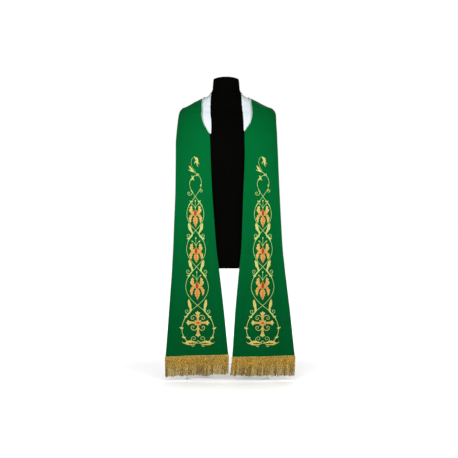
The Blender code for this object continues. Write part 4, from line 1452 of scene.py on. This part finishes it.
# A wide sun that lights only the named things: the floor with the plate's top, then the plate's front edge.
Sun = namedtuple("Sun", "name only lit way power angle")
SUNS = table(
    Sun,
    ("floor_sun", "floor_only", ("floor", "stand_plate"), (0.02, -0.30, -1.00), 1.56, 80),
    ("plate_sun", "plate_only", ("stand_plate",), (-0.04, 0.97, -0.22), 1.55, 110),
)
WORLD_LIGHT = 0.14
WORLD_SEEN = 1.0
FLOOR_HALF_SIZE = 14.0
FLOOR_GLOW = 0.55  # of the floor far from the object, so that it ends in white
FLOOR_GLOW_REACH = (0.60, 2.40)


def floor_paint():
    """Pale and matt, and it ends in white."""
    nodes = Nodes("floor_paint")
    place = nodes.place()
    away = nodes.add("ShaderNodeVectorMath", {0: place}, operation="LENGTH").outputs["Value"]
    return nodes.finished(
        Base_Color=nodes.mix(nodes.noise(place, 3.0), linear(250, 250, 250), linear(252, 252, 252)),
        Roughness=0.9,
        Specular_IOR_Level=0.0,
        Emission_Color=(1.0, 1.0, 1.0),
        Emission_Strength=nodes.span(away, 0.0, FLOOR_GLOW, *FLOOR_GLOW_REACH),
    )


def add_light(name, kind, way, power, **settings):
    """A light that shines that way."""
    data = bpy.data.lights.new(name, kind)
    data.energy = power
    for key, value in settings.items():
        setattr(data, key, value)
    light = bpy.data.objects.new(name, data)
    light.rotation_euler = Vector(way).to_track_quat("-Z", "Y").to_euler()
    bpy.context.scene.collection.objects.link(light)
    return light


def make_stage():
    mesh = bpy.data.meshes.new("floor")
    corners = [(x * FLOOR_HALF_SIZE, y * FLOOR_HALF_SIZE, 0) for x, y in ((-1, -1), (1, -1), (1, 1), (-1, 1))]
    mesh.from_pydata(corners, [], [(0, 1, 2, 3)])
    floor = bpy.data.objects.new("floor", mesh)
    floor.data.materials.append(floor_paint())
    floor.visible_diffuse = False
    for sun in SUNS:
        light = add_light(sun.name, "SUN", sun.way, sun.power, angle=math.radians(sun.angle))
        receivers = bpy.data.collections.new(sun.only)
        bpy.context.scene.collection.children.link(receivers)
        for name in sun.lit:
            receivers.objects.link(bpy.data.objects[name])
        light.light_linking.receiver_collection = receivers


def make_lamps():
    for lamp in LAMPS:
        way = Vector(lamp.target) - Vector(lamp.place)
        light = add_light(lamp.name, "AREA", way, lamp.power, size=lamp.size)
        light.location = lamp.place
        light.visible_camera = False


def make_world():
    """Even white light, seen by the camera as a white ground."""
    world = bpy.data.worlds.new("studio")
    world.use_nodes = True
    tree = world.node_tree
    background = tree.nodes["Background"]
    path = tree.nodes.new("ShaderNodeLightPath")
    strength = tree.nodes.new("ShaderNodeMapRange")
    strength.inputs["To Min"].default_value = WORLD_LIGHT
    strength.inputs["To Max"].default_value = WORLD_SEEN
    tree.links.new(path.outputs["Is Camera Ray"], strength.inputs["Value"])
    tree.links.new(strength.outputs[0], background.inputs["Strength"])
    background.inputs["Color"].default_value = (1.0, 1.0, 1.0, 1.0)
    bpy.context.scene.world = world


def make_camera():
    data = bpy.data.cameras.new("camera")
    data.sensor_width = SENSOR_MM
    data.lens = LENS_MM
    camera = bpy.data.objects.new("camera", data)
    camera.location = CAMERA_PLACE
    camera.rotation_euler = (math.pi / 2, 0, 0)
    bpy.context.scene.collection.objects.link(camera)
    bpy.context.scene.camera = camera


def main():
    bpy.context.scene.view_settings.view_transform = "Standard"
    make_camera()
    make_world()
    make_lamps()
    make_stage()
    green, white, gold, satin = green_gabardine(), white_cotton(), gold_cord(), satin_thread()
    # the first is the green with painted shade round the stitches
    painted_shade, jersey = painted_shade_green(), black_jersey()
    surfaces = [StoleHalf(half) for half in HALVES]
    make_body("form_jersey", "dress_form", FORM_LEVELS, FORM_STEP, jersey, LEVEL_SEAMS, PANEL_SEAMS)
    make_body("neck_cap_jersey", "neck_cap", CAP_LEVELS, CAP_STEP, jersey)
    band = make_neck_band(surfaces, white)
    lace = make_lace(surfaces, white)
    finish_stand(white_enamel())
    for surface in surfaces:
        cloth = make_stole_half(surface, green)
        cords = make_fringe(surface, gold)
        heading = make_heading(surface, gold)
        stitching = make_embroidery(surface, satin, painted_shade)


main()
